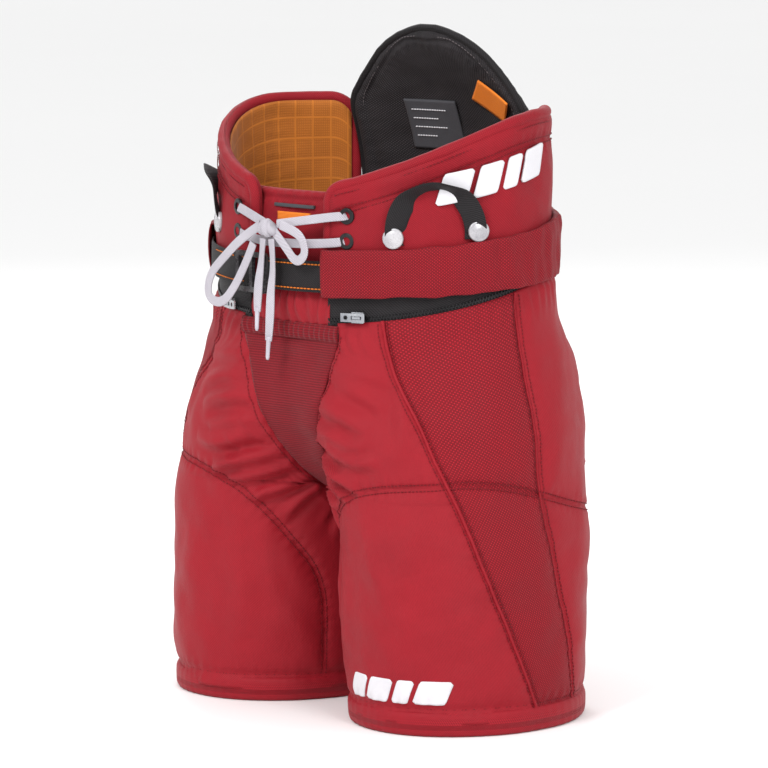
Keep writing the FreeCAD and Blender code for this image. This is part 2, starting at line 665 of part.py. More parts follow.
def spine_pieces():
    plate_from = SPINE_SKIN + LAYER_GAP
    inner_from = plate_from + PLATE_WALL + LAYER_GAP
    cutter = spine_cutter()
    plate_zone = block(-FAR, FAR, 0.0, FAR, SPINE_HINGE_Z + SPINE_MARGIN / 2, SPINE_TOP)
    plate = spine_layer(plate_from, plate_from + PLATE_WALL).common(spine_cutter(SPINE_MARGIN))
    return {
        "spine_pad_outer": spine_layer(0.0, SPINE_SKIN).common(cutter),
        "spine_plate": plate.common(plate_zone),
        "spine_pad_inner": spine_layer(inner_from, inner_from + SPINE_SKIN).common(cutter),
    }


def spine_badge(outline):
    """Thin patch sewn on the spine pad's inside face."""
    face_depth = 2 * SPINE_SKIN + PLATE_WALL + 2 * LAYER_GAP + 0.3
    return spine_layer(face_depth, face_depth + LABEL_THICKNESS).common(front_prism(outline, 0.0, FAR))


def care_label():
    return spine_badge([(-56.0, 518.0), (10.0, 518.0), (10.0, 568.0), (-56.0, 568.0)])


def woven_tag():
    return spine_badge([(41.0, 574.0), (58.0, 584.0), (99.0, 567.0), (80.0, 557.0)])


# ---- Lace

def lace_path(points, y):
    """Straight runs joined by tangent arcs in the plane at y; returns the wire and its radii."""
    corners = [V(x, y, z) for x, z in points]
    edges = []
    radii = []
    start = corners[0]
    for before, corner, after in zip(corners, corners[1:], corners[2:]):
        run_in = before - corner
        run_out = after - corner
        shorter = min(run_in.Length, run_out.Length)
        turn = math.pi - run_in.getAngle(run_out)
        setback = 0.45 * shorter
        radius = setback / math.tan(turn / 2)
        arc_start = corner + V(run_in).normalize() * setback
        arc_end = corner + V(run_out).normalize() * setback
        bisector = (V(run_in).normalize() + V(run_out).normalize()).normalize()
        middle = corner + bisector * (radius / math.cos(turn / 2) - radius)
        edges.append(Part.LineSegment(start, arc_start).toShape())
        edges.append(Part.Arc(arc_start, middle, arc_end).toShape())
        start = arc_end
        radii.append(radius)
    edges.append(Part.LineSegment(start, corners[-1]).toShape())
    return Part.Wire(edges), radii


def lace_ribbon(name, points, y):
    """Flat lace swept along its path, its width in the plane of the bow."""
    path, radii = lace_path(points, y)
    first = V(points[0][0], y, points[0][1])
    ahead = (V(points[1][0], y, points[1][1]) - first).normalize()
    across = ahead.cross(V(0, 1, 0))
    corner = first - across * (LACE_WIDTH / 2) - V(0, LACE_THICKNESS / 2, 0)
    outline = [corner, corner + across * LACE_WIDTH, corner + across * LACE_WIDTH + V(0, LACE_THICKNESS, 0),
               corner + V(0, LACE_THICKNESS, 0)]
    sweep = Part.BRepOffsetAPI.MakePipeShell(path)
    sweep.setBiNormalMode(V(0, 1, 0))
    sweep.add(Part.makePolygon(outline + outline[:1]))
    sweep.build()
    sweep.makeSolid()
    ribbon = sweep.shape()
    expected = LACE_WIDTH * LACE_THICKNESS * path.Length
    print(name, "radii", [round(r, 1) for r in radii], "volume / expected", round(ribbon.Volume / expected, 4))
    return ribbon


def lace_knot():
    ball = Part.makeSphere(1.0)
    stretch = FreeCAD.Matrix(10.5, 0, 0, KNOT.x, 0, 5.0, 0, KNOT.y, 0, 0, 8.5, KNOT.z, 0, 0, 0, 1)
    return ball.transformGeometry(stretch)


def lace_strand(start, end):
    """Straight flat strand between two points, its width upright."""
    ahead = (end - start).normalize()
    across = V(0, 0, 1)
    thick = ahead.cross(across).normalize()
    corner = start - across * (LACE_WIDTH / 2) - thick * (LACE_THICKNESS / 2)
    outline = [corner, corner + across * LACE_WIDTH, corner + across * LACE_WIDTH + thick * LACE_THICKNESS,
               corner + thick * LACE_THICKNESS]
    return prism(outline, end - start)


def upper_strands():
    z = EYELET_Z[1]
    end = front_point(EYELET_X - 9.0, z - 1.0, EYELET_THICKNESS + LACE_THICKNESS)
    left = lace_strand(V(KNOT.x + 9.5, LACE_Y + 3.0, KNOT.z + 4.0), end)
    right = lace_strand(V(KNOT.x - 9.5, LACE_Y + 3.0, KNOT.z + 4.0), V(-end.x, end.y, end.z))
    return Part.makeCompound([left, right])


def lower_strand():
    z = EYELET_Z[0]
    proud = EYELET_THICKNESS + LACE_THICKNESS
    end = front_point(EYELET_X - 9.0, z - 4.0, proud)
    middle = V(0, LACE_Y + 7.6, z - 5.0)
    left = lace_strand(middle, end)
    half = left_half(left, 0.0)
    return half.fuse(mirrored(half)).removeSplitter()


def lace_tips():
    tips = []
    for points, y in ((LACE_TAIL_LEFT, LACE_Y), (LACE_TAIL_RIGHT, LACE_Y)):
        (x0, z0), (x1, z1) = points[-2], points[-1]
        ahead = V(x1 - x0, 0, z1 - z0).normalize()
        tips.append(Part.makeCone(2.6, 1.9, TIP_LENGTH, V(x1, y, z1) + ahead * 0.2, ahead))
    return Part.makeCompound(tips)


# ---- Output

def build_nodes():
    nodes = {}
    sided = {}
    sided.update(thigh_pieces())
    sided.update(hip_pieces())
    sided.update(wing_pieces())
    sided["groin_sleeve"] = groin_sleeve()
    sided["zip_tape"] = zip_tape()
    sided["zip_slider"] = zip_slider()
    sided["zip_pull"] = zip_pull()
    sided["suspender_loop"] = suspender_loop()
    for name, shape in sided.items():
        nodes[name + "_left"] = shape
        nodes[name + "_right"] = mirrored(shape)
    whole_front = block(TUNNEL_FRONT_X, FAR, -FAR, 0.0, 0.0, 2 * FAR).fuse(block(0.0, FAR, 0.0, FAR, 0.0, 2 * FAR))
    nodes["belt_tunnel_left"] = belt_tunnel(whole_front)
    nodes["belt_tunnel_right"] = mirrored(belt_tunnel(block(0.0, FAR, TUNNEL_RIGHT_FRONT_Y, FAR, 0.0, 2 * FAR)))
    coil = zip_coil()
    nodes["zip_coils"] = Part.makeCompound([coil, mirrored(coil)])
    nodes["front_gusset"] = front_gusset()
    nodes["gusset_elastic"] = gusset_elastic()
    nodes["tailbone_pad"] = tailbone_pad()
    nodes["waist_liner"] = waist_liner()
    nodes["lumbar_pad"] = lumbar_pad()
    nodes["belt_webbing"] = belt_webbing()
    nodes["belt_tail"] = belt_tail()
    nodes["buckle_frame"] = buckle_frame()
    nodes["eyelets"] = eyelets()
    nodes["suspender_buttons"] = suspender_buttons()
    nodes["tongue"] = tongue()
    nodes.update(spine_pieces())
    nodes["care_label"] = care_label()
    nodes["woven_tag"] = woven_tag()
    nodes["lace_loop_left"] = lace_ribbon("lace_loop_left", LACE_LOOP_LEFT, LACE_Y)
    nodes["lace_loop_right"] = lace_ribbon("lace_loop_right", LACE_LOOP_RIGHT, LACE_Y)
    nodes["lace_tail_left"] = lace_ribbon("lace_tail_left", LACE_TAIL_LEFT, LACE_Y)
    nodes["lace_tail_right"] = lace_ribbon("lace_tail_right", LACE_TAIL_RIGHT, LACE_Y)
    nodes["lace_knot"] = lace_knot()
    nodes["lace_tips"] = lace_tips()
    nodes["lace_upper_strands"] = upper_strands()
    nodes["lace_lower_strand"] = lower_strand()
    return nodes


def main():
    os.makedirs("parts", exist_ok=True)
    for name, shape in build_nodes().items():
        shape = shape.translated(V(0, FRAME_SHIFT_Y, 0))
        box = shape.BoundBox
        print("%-22s solids %d valid %s  x %.1f %.1f  y %.1f %.1f  z %.1f %.1f  vol %.0f" % (
            name, len(shape.Solids), shape.isValid(), box.XMin, box.XMax, box.YMin, box.YMax,
            box.ZMin, box.ZMax, shape.Volume))
        shape.exportStep("parts/" + name + ".step")


main()
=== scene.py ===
"""Looks of the hockey pants: fabric shells, padded wings, mesh, webbing, lace and stitching on the CAD frame."""
import math
import random

import bpy
import numpy as np
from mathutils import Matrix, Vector


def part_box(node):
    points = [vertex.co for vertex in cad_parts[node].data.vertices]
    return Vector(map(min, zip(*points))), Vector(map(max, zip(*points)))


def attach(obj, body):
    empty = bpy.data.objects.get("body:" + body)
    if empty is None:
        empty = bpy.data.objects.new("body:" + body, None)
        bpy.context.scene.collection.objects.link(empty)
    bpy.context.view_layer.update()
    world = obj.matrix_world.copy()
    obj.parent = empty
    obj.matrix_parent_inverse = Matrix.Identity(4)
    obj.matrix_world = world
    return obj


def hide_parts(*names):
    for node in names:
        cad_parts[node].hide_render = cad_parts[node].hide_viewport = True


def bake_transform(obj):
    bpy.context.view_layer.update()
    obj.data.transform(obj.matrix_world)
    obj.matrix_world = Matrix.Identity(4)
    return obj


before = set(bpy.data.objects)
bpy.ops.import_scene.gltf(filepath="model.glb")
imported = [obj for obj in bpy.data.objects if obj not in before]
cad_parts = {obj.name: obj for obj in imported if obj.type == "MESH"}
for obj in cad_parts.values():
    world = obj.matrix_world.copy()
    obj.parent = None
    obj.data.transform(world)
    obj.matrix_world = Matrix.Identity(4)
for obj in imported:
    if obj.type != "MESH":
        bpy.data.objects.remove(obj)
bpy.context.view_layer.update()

TAU = 2 * math.pi
SIDES = ("left", "right")

# ---------------------------------------------------------------- sizes, in metres
HEM_LOW, HEM_HIGH = [np.array(c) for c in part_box("hem_band_left")]
HEM_CENTRE = (HEM_LOW + HEM_HIGH) / 2
SHIFT_Y = float(HEM_CENTRE[1])
HEM_PROUD = 0.0026
HEM_X = float(HEM_CENTRE[0])
HEM_HALF_X = float(HEM_HIGH[0] - HEM_LOW[0]) / 2 - HEM_PROUD
HEM_HALF_Y = float(HEM_HIGH[1] - HEM_LOW[1]) / 2 - HEM_PROUD
HEM_TOP = float(HEM_HIGH[2])
WAIST_A = 0.181
WAIST_B = 0.128
WAIST_Y = 0.006
HIP_A = 0.204
HIP_B = 0.132
FRONT_LINE_Y = -0.124
CROTCH_Z = 0.207
GUSSET_TIP_Z = 0.192
GUSSET_TOP_Z = 0.357
ELASTIC_TOP_Z = 0.370
WING_FRONT_X = 0.050
WING_BACK_X = 0.1265
SPINE_LOW_Z = 0.484
SPINE_TOP_Z = 0.637
SPINE_HALF_X = 0.114
SPINE_LEAN = 0.060
SPINE_LEAN_GROWTH = 1.7
SPINE_THICK = 0.014
EYELET_X = 0.072
LACE_Y = -0.138
LACE_WIDTH = 0.009
LACE_THICK = 0.002
STRAND_WIDTH = 0.0084
BELT_WIDTH = 0.029
BELT_LIFT = 0.004
STRAND_FRONT_Y = -0.1308

# half-body sections: height, centre x, centre y, half width, half depth
KEYS = np.array([
    (0.0, HEM_X, 0.0, HEM_HALF_X, HEM_HALF_Y),
    (0.090, HEM_X - 0.003, 0.0, HEM_HALF_X + 0.002, HEM_HALF_Y + 0.004),
    (0.185, HEM_X - 0.008, 0.002, HEM_HALF_X + 0.002, HEM_HALF_Y + 0.008),
    (0.240, HIP_A - 0.107, 0.005, 0.110, HIP_B - 0.004),
    (0.280, HIP_A - 0.124, 0.008, 0.124, HIP_B),
    (0.330, 0.050, 0.013, WAIST_A - 0.038, WAIST_B + 0.001),
    (0.375, 0.020, 0.009, WAIST_A - 0.018, WAIST_B - 0.001),
    (0.450, 0.006, WAIST_Y, WAIST_A - 0.006, WAIST_B),
])


def hermite_table(keys, count=256):
    """Smooth cubic through the key sections, sampled densely."""
    rates = np.diff(keys[:, 1:], axis=0) / np.diff(keys[:, 0])[:, None]
    slopes = np.vstack([rates[:1], (rates[:-1] + rates[1:]) / 2, rates[-1:]])
    levels = np.linspace(keys[0, 0], keys[-1, 0], count)
    rows = []
    for z in levels:
        i = int(np.clip(np.searchsorted(keys[:, 0], z, side="right") - 1, 0, len(keys) - 2))
        span = keys[i + 1, 0] - keys[i, 0]
        t = (z - keys[i, 0]) / span
        start, end = 2 * t ** 3 - 3 * t ** 2 + 1, 3 * t ** 2 - 2 * t ** 3
        leave, arrive = t ** 3 - 2 * t ** 2 + t, t ** 3 - t ** 2
        bend = span * (leave * slopes[i] + arrive * slopes[i + 1])
        rows.append(start * keys[i, 1:] + end * keys[i + 1, 1:] + bend)
    return levels, np.array(rows)


LEVELS, TABLE = hermite_table(KEYS)


def section(z):
    """Centre x, centre y, half width and half depth of the half-body at each height."""
    return [np.interp(z, LEVELS, TABLE[:, k]) for k in range(4)]


def body_point(phi, z, out=0.0):
    """Point on the left half-body; phi is 0 at the outer side, negative to the front."""
    cx, cy, ax, ay = section(z)
    nx, ny = np.cos(phi) / ax, np.sin(phi) / ay
    length = np.sqrt(nx ** 2 + ny ** 2)
    x = cx + ax * np.cos(phi) + out * nx / length
    y = cy + ay * np.sin(phi) + out * ny / length
    return np.stack([x, y + SHIFT_Y, z + 0 * x], axis=-1)


def waist_point(phi, z, out=0.0):
    """Point on the waist oval; phi is 0 at the left side and -90 degrees at the front."""
    nx, ny = np.cos(phi) / WAIST_A, np.sin(phi) / WAIST_B
    length = np.sqrt(nx ** 2 + ny ** 2)
    x = WAIST_A * np.cos(phi) + out * nx / length
    y = WAIST_Y + WAIST_B * np.sin(phi) + out * ny / length
    return np.stack([x, y + SHIFT_Y, z + 0 * x], axis=-1)


def oval_outward(place):
    """Level direction that points out of the waist oval."""
    return unit(np.stack([place[..., 0] / WAIST_A ** 2, (place[..., 1] - WAIST_Y) / WAIST_B ** 2,
                          0 * place[..., 0]], axis=-1))


def waist_phi_front(x):
    return -np.arccos(np.clip(x / WAIST_A, -1, 1))


def shell_top(y):
    return 0.370 + 0.27 * (y - FRONT_LINE_Y)


def tunnel_bottom(y):
    return 0.397 + 0.087 * (y - FRONT_LINE_Y)


def tunnel_top(y):
    return 0.440 + 0.14 * (y - FRONT_LINE_Y)


def hip_top(y):
    return np.minimum(shell_top(y) + 0.001, tunnel_bottom(y) + 0.003)


def wing_top(y):
    share = (y - FRONT_LINE_Y) / 0.228
    return 0.492 + 0.075 * np.sin(math.pi / 2 * np.minimum(1.0, share * 1.35)) ** 0.8


def smooth(t):
    t = np.clip(t, 0.0, 1.0)
    return t * t * (3 - 2 * t)


def unit(vectors):
    """The vectors at length one; they run along the last axis."""
    return vectors / (np.linalg.norm(vectors, axis=-1)[..., None] + 1e-12)


def travelled(path):
    """Distance from the start of a path to each of its points."""
    return np.concatenate([[0], np.cumsum(np.linalg.norm(np.diff(path, axis=0), axis=1))])


def rounded(value, power):
    """Sine or cosine squared off towards a box, with its sign kept."""
    return math.copysign(abs(value) ** power, value)


def over_cols(low, high, rows, cols):
    """Grid of values that run from low to high along each row."""
    return np.linspace(low, high, cols)[None, :] * np.ones((rows, 1))


def over_rows(low, high, rows, cols=1):
    """Grid of values that run from low to high from row to row."""
    return np.linspace(low, high, rows)[:, None] * np.ones(cols)


# ---------------------------------------------------------------- noise and distance helpers

def value_noise(points, scale, seed):
    """Smooth pseudo-random field in -1..1 from a few seeded plane waves per octave."""
    rng = np.random.default_rng(seed)
    total = np.zeros(points.shape[:-1])
    for _ in range(14):
        direction = rng.normal(size=3)
        direction /= np.linalg.norm(direction)
        wave = TAU / (scale * rng.uniform(0.7, 1.6))
        total += np.sin(points @ direction * wave + rng.uniform(0, TAU))
    return total / 5.0


def distance_to(points, line):
    """Distance from each point to a polyline of 3D points, and how far along it the nearest point is."""
    flat = points.reshape(-1, 3)
    best = np.full(len(flat), 9.0)
    along = np.zeros(len(flat))
    passed = 0.0
    for a, b in zip(line[:-1], line[1:]):
        ab = b - a
        length = np.linalg.norm(ab)
        if length < 1e-9:
            continue
        t = np.clip(((flat - a) @ ab) / length ** 2, 0, 1)
        d = np.linalg.norm(flat - (a + t[:, None] * ab), axis=1)
        closer = d < best
        best = np.where(closer, d, best)
        along = np.where(closer, passed + t * length, along)
        passed += length
    return best.reshape(points.shape[:-1]), along.reshape(points.shape[:-1])


# ---------------------------------------------------------------- mesh makers

def make_mesh(name, verts, faces, material, uvs=None, smooth_shade=True):
    mesh = bpy.data.meshes.new(name)
    mesh.from_pydata([tuple(map(float, v)) for v in verts], [], faces)
    if uvs is not None:
        layer = mesh.uv_layers.new(name="cloth")
        index = np.zeros(len(mesh.loops), dtype=np.int32)
        mesh.loops.foreach_get("vertex_index", index)
        layer.data.foreach_set("uv", np.asarray(uvs, float)[index].astype(np.float32).ravel())
    mesh.polygons.foreach_set("use_smooth", [smooth_shade] * len(mesh.polygons))
    mesh.update()
    obj = bpy.data.objects.new(name, mesh)
    bpy.context.scene.collection.objects.link(obj)
    if material:
        mesh.materials.append(material)
    return obj


def cloth_uv(grid):
    """Distance along rows and columns of a grid of points, in metres."""
    du = np.linalg.norm(np.diff(grid, axis=1), axis=2)
    dv = np.linalg.norm(np.diff(grid, axis=0), axis=2)
    u = np.hstack([np.zeros((len(grid), 1)), np.cumsum(du, axis=1)])
    v = np.vstack([np.zeros((1, grid.shape[1])), np.cumsum(dv, axis=0)])
    u = np.broadcast_to(u.mean(axis=0), u.shape)
    v = np.broadcast_to(v.mean(axis=1)[:, None], v.shape)
    return np.stack([u, v], axis=-1)


def grid_faces(rows, cols, start=0, flip=False, wrap=False):
    faces = []
    span = cols if wrap else cols - 1
    for r in range(rows - 1):
        for c in range(span):
            a = start + r * cols + c
            b = start + r * cols + (c + 1) % cols
            quad = (a, b, b + cols, a + cols)
            faces.append(quad[::-1] if flip else quad)
    return faces


def slab(name, outer, inner, material):
    """Closed sheet between two grids of the same size."""
    rows, cols = outer.shape[:2]
    count = rows * cols
    verts = np.vstack([outer.reshape(-1, 3), inner.reshape(-1, 3)])
    faces = grid_faces(rows, cols) + grid_faces(rows, cols, count, flip=True)
    rim = [(0, c) for c in range(cols)] + [(r, cols - 1) for r in range(1, rows)]
    rim += [(rows - 1, c) for c in range(cols - 2, -1, -1)] + [(r, 0) for r in range(rows - 2, 0, -1)]
    ids = [r * cols + c for r, c in rim]
    for a, b in zip(ids, ids[1:] + ids[:1]):
        faces.append((b, a, a + count, b + count))
    uv = cloth_uv(outer).reshape(-1, 2)
    return make_mesh(name, verts, faces, material, np.vstack([uv, uv]))


def mirror_grid(grid):
    """The same grid on the other side of the middle, its rows turned so that it still faces outwards."""
    return grid[:, ::-1] * np.array([-1.0, 1.0, 1.0])


def frames_along(path, up):
    """Sideways and upward unit vectors along a path."""
    tangents = unit(np.gradient(path, axis=0))
    side = unit(np.cross(tangents, up))
    return side, np.cross(side, tangents)


def tube(name, path, radius, material, up, ring=14, flat=1.0):
    """Round or flattened tube with closed ends along a path of points; radius may vary along it."""
    path = np.asarray(path, float)
    up = np.asarray(up, float)
    side, top = frames_along(path, up if up.ndim == 2 else np.broadcast_to(up, path.shape))
    radius = np.broadcast_to(np.asarray(radius, float), (len(path),))
    angles = np.linspace(0, TAU, ring, endpoint=False)
    circle = np.cos(angles)[None, :, None] * side[:, None]
    circle = circle + flat * np.sin(angles)[None, :, None] * top[:, None]
    verts = path[:, None] + radius[:, None, None] * circle
    rows = len(path)
    faces = grid_faces(rows, ring, wrap=True, flip=True)
    faces += [tuple(range(ring)), tuple(reversed(range((rows - 1) * ring, rows * ring)))]
    length = travelled(path)
    uv = np.stack(np.broadcast_arrays(angles[None] * float(radius.mean()), length[:, None]), axis=-1)
    return make_mesh(name, verts.reshape(-1, 3), faces, material, uv.reshape(-1, 2))


def at(steps, path, where):
    """Point on a path at a distance from its start."""
    return np.stack([np.interp(where, steps, path[:, k]) for k in range(3)], axis=-1)


def resample(path, spacing):
    """The same path with evenly spaced points."""
    path = np.asarray(path, float)
    steps = travelled(path)
    count = max(2, int(round(steps[-1] / spacing)) + 1)
    return at(steps, path, np.linspace(0, steps[-1], count))


def stitches(name, rows, material, pitch=0.0032, length=0.0023, radius=0.00045, lift=0.0002):
    """One mesh of small thread capsules along rows of (path, outward normals)."""
    verts, faces = [], []
    for path, normals in rows:
        steps = travelled(path)
        for s in np.arange(pitch / 2, steps[-1] - length / 2, pitch):
            back, front = at(steps, path, s - length / 2), at(steps, path, s + length / 2)
            n = unit(at(steps, normals, s))
            side = np.cross(unit(front - back), n)
            base = len(verts)
            for t, size in ((0.0, 0.45), (0.22, 1.0), (0.78, 1.0), (1.0, 0.45)):
                centre = back + (front - back) * t + n * lift
                for k in range(6):
                    a = TAU * k / 6
                    verts.append(centre + radius * size * (math.cos(a) * side + math.sin(a) * n))
            for ring in range(3):
                for k in range(6):
                    a, b = base + ring * 6 + k, base + ring * 6 + (k + 1) % 6
                    faces.append((a, b, b + 6, a + 6))
            faces.append(tuple(base + k for k in reversed(range(6))))
            faces.append(tuple(base + 18 + k for k in range(6)))
    return make_mesh(name, verts, faces, material)


# ---------------------------------------------------------------- materials

class Nodes:
    """Short way to wire a procedural material."""

    def __init__(self, name):
        self.material = bpy.data.materials.new(name)
        self.material.use_nodes = True
        self.tree = self.material.node_tree
        self.shader = self.tree.nodes["Principled BSDF"]

    def add(self, kind, **sockets):
        node = self.tree.nodes.new(kind)
        for key, value in sockets.items():
            self.set(node, key, value)
        return node

    def set(self, node, key, value):
        socket = node.inputs[key if isinstance(key, int) else key.replace("_", " ")]
        if isinstance(value, bpy.types.NodeSocket):
            self.tree.links.new(value, socket)
        else:
            socket.default_value = value

    def math(self, operation, a, b=0.0):
        node = self.add("ShaderNodeMath")
        node.operation = operation
        self.set(node, 0, a)
        self.set(node, 1, b)
        return node.outputs[0]

    def noise(self, vector, scale, detail=3.0, roughness=0.5):
        node = self.add("ShaderNodeTexNoise", Vector=vector, Scale=scale, Detail=detail, Roughness=roughness)
        return node.outputs["Fac"]

    def spread(self, value, low, high, to_low=0.0, to_high=1.0):
        node = self.add("ShaderNodeMapRange", Value=value, From_Min=low, From_Max=high)
        self.set(node, "To_Min", to_low)
        self.set(node, "To_Max", to_high)
        return node.outputs["Result"]

    def blend(self, factor, a, b):
        node = self.add("ShaderNodeMix")
        node.data_type = "RGBA"
        self.set(node, 0, factor)
        self.set(node, 6, a)
        self.set(node, 7, b)
        return node.outputs[2]

    def bump(self, height, distance, normal=None):
        node = self.add("ShaderNodeBump", Height=height, Distance=distance, Strength=1.0)
        if normal is not None:
            self.set(node, "Normal", normal)
        return node.outputs["Normal"]

    def cloth(self):
        node = self.add("ShaderNodeUVMap")
        node.uv_map = "cloth"
        split = self.add("ShaderNodeSeparateXYZ", Vector=node.outputs["UV"])
        return split.outputs["X"], split.outputs["Y"]

    def place(self):
        return self.add("ShaderNodeTexCoord").outputs["Object"]

    def sine(self, value, pitch):
        wave = self.math("SINE", self.math("MULTIPLY", value, TAU / pitch))
        return self.math("ADD", self.math("MULTIPLY", wave, 0.5), 0.5)


def weave_holes(n, u, v, pitch):
    """Staggered small holes of a perforated knit."""
    a = n.sine(n.math("ADD", u, v), pitch)
    b = n.sine(n.math("SUBTRACT", u, v), pitch)
    return n.spread(n.math("MULTIPLY", a, b), 0.35, 0.75)


def weave_twill(n, u, v, pitch):
    a = n.sine(n.math("ADD", u, n.math("MULTIPLY", v, 1.4)), pitch)
    b = n.sine(v, pitch * 0.5)
    return n.math("ADD", n.math("MULTIPLY", a, 0.75), n.math("MULTIPLY", b, 0.25))


def weave_ribs(n, u, v, pitch):
    fine = n.sine(u, pitch * 0.6)
    return n.math("ADD", n.math("MULTIPLY", n.sine(v, pitch), 0.8), n.math("MULTIPLY", fine, 0.2))


def weave_plain(n, u, v, pitch):
    return n.math("MULTIPLY", n.sine(u, pitch), n.sine(v, pitch))


def weave_grid(n, u, v, pitch):
    """Fine mesh with a wider raised grid."""
    fine = n.math("MULTIPLY", n.sine(u, 0.0022), n.sine(v, 0.0022))
    ridges = [n.spread(n.sine(way, pitch), 0.95, 1.0, 0.0, 0.75) for way in (u, v)]
    return n.math("MAXIMUM", n.math("MULTIPLY", fine, 0.6), n.math("MAXIMUM", *ridges))


def fabric(name, light, dark, weave, pitch, depth, rough=0.54, sheen=0.03, mottle=0.35, crease=0.0007):
    """Woven or knitted cloth: the weave sets colour and bump, broad noise mottles it, fine noise roughens it."""
    n = Nodes(name)
    u, v = n.cloth()
    place = n.place()
    pattern = weave(n, u, v, pitch)
    patches = n.noise(place, 22.0, 4.0, 0.6)
    threads = n.noise(place, 900.0, 2.0, 0.6)
    shade = n.math("ADD", n.math("MULTIPLY", pattern, 1.0 - mottle), n.math("MULTIPLY", patches, mottle))
    shade = n.math("ADD", n.math("MULTIPLY", shade, 0.85), n.math("MULTIPLY", threads, 0.15))
    n.set(n.shader, "Base_Color", n.blend(n.spread(shade, 0.15, 0.8), rgb(*dark), rgb(*light)))
    n.set(n.shader, "Roughness", n.spread(patches, 0.3, 0.7, rough - 0.06, rough + 0.08))
    n.shader.inputs["Sheen Weight"].default_value = sheen
    n.shader.inputs["Sheen Roughness"].default_value = 0.45
    n.shader.inputs["Specular IOR Level"].default_value = 0.16
    broad = n.bump(n.noise(place, 60.0, 4.0, 0.55), crease)
    raised = n.math("ADD", pattern, n.math("MULTIPLY", threads, 0.5))
    n.set(n.shader, "Normal", n.bump(raised, depth, broad))
    return n.material


def plain_material(name, light, dark, rough, metallic=0.0, scale=300.0, depth=0.00006):
    """Moulded or metal surface with faint scuffs and grain."""
    n = Nodes(name)
    place = n.place()
    grain = n.noise(place, scale, 4.0, 0.6)
    wear = n.noise(place, scale * 0.12, 3.0, 0.5)
    n.set(n.shader, "Base_Color", n.blend(n.spread(wear, 0.35, 0.7), rgb(*dark), rgb(*light)))
    n.set(n.shader, "Roughness", n.spread(grain, 0.3, 0.7, rough - 0.08, rough + 0.1))
    n.shader.inputs["Metallic"].default_value = metallic
    n.set(n.shader, "Normal", n.bump(grain, depth))
    return n.material


def rgb(r, g, b):
    """Display colour to linear, with alpha."""
    return tuple(c / 255 / 12.92 if c <= 10 else ((c / 255 + 0.055) / 1.055) ** 2.4 for c in (r, g, b)) + (1.0,)


NYLON = fabric("nylon", (166, 30, 42), (106, 15, 25), weave_twill, 0.0021, 0.00014, mottle=0.25)
MESH = fabric("side_mesh", (176, 32, 44), (112, 17, 27), weave_holes, 0.0034, 0.00030, rough=0.66, mottle=0.2)
TUNNEL = fabric("tunnel_mesh", (178, 32, 44), (108, 16, 26), weave_holes, 0.0030, 0.00040, rough=0.68, mottle=0.2)
KNIT = fabric("gusset_knit", (132, 24, 34), (80, 12, 20), weave_ribs, 0.0024, 0.00030, rough=0.74, sheen=0.1)
WING = fabric("wing_knit", (172, 31, 43), (122, 18, 29), weave_holes, 0.0022, 0.00020, rough=0.66, mottle=0.3)
LINING = fabric("lining", (196, 116, 42), (152, 86, 32), weave_grid, 0.0180, 0.00030, rough=0.72, sheen=0.15)
BLACK_MESH = fabric("black_mesh", (74, 69, 71), (30, 28, 30), weave_holes, 0.0026, 0.00040, rough=0.75)
WEBBING = fabric("webbing", (44, 41, 43), (12, 11, 12), weave_twill, 0.0030, 0.00040, rough=0.62)
LACE = fabric("lace_braid", (206, 202, 209), (132, 126, 136), weave_twill, 0.0022, 0.00030, rough=0.7)
RED_THREAD = fabric("red_thread", (132, 22, 32), (92, 14, 22), weave_plain, 0.001, 0.00010)
ORANGE_THREAD = fabric("orange_thread", (236, 138, 44), (196, 96, 24), weave_plain, 0.001, 0.00010)
GREY_THREAD = fabric("grey_thread", (120, 112, 114), (76, 70, 72), weave_plain, 0.001, 0.00010)
PRINT = fabric("white_print", (226, 225, 228), (204, 202, 207), weave_plain, 0.0011, 0.00006, rough=0.5)
FOAM = plain_material("foam", (60, 58, 60), (36, 34, 36), 0.85, scale=700.0, depth=0.0003)
GUARD = plain_material("guard_plastic", (62, 60, 62), (46, 45, 47), 0.42)
BLACK_PLASTIC = plain_material("black_plastic", (74, 71, 73), (46, 44, 46), 0.24)
BLACK_METAL = plain_material("black_enamel", (44, 42, 44), (26, 25, 27), 0.3, 0.5)
SILVER = plain_material("silver", (206, 208, 212), (150, 152, 158), 0.25, 1.0)
PEARL = plain_material("button_enamel", (196, 194, 197), (150, 148, 153), 0.28, 0.25)
TIP = plain_material("lace_tip", (198, 194, 202), (164, 160, 170), 0.25)
LABEL = fabric("label_cloth", (88, 88, 92), (62, 62, 66), weave_plain, 0.0010, 0.00008)
TAG = fabric("tag_cloth", (244, 140, 50), (214, 108, 30), weave_ribs, 0.0012, 0.0002)

# ---------------------------------------------------------------- camera, floor and light

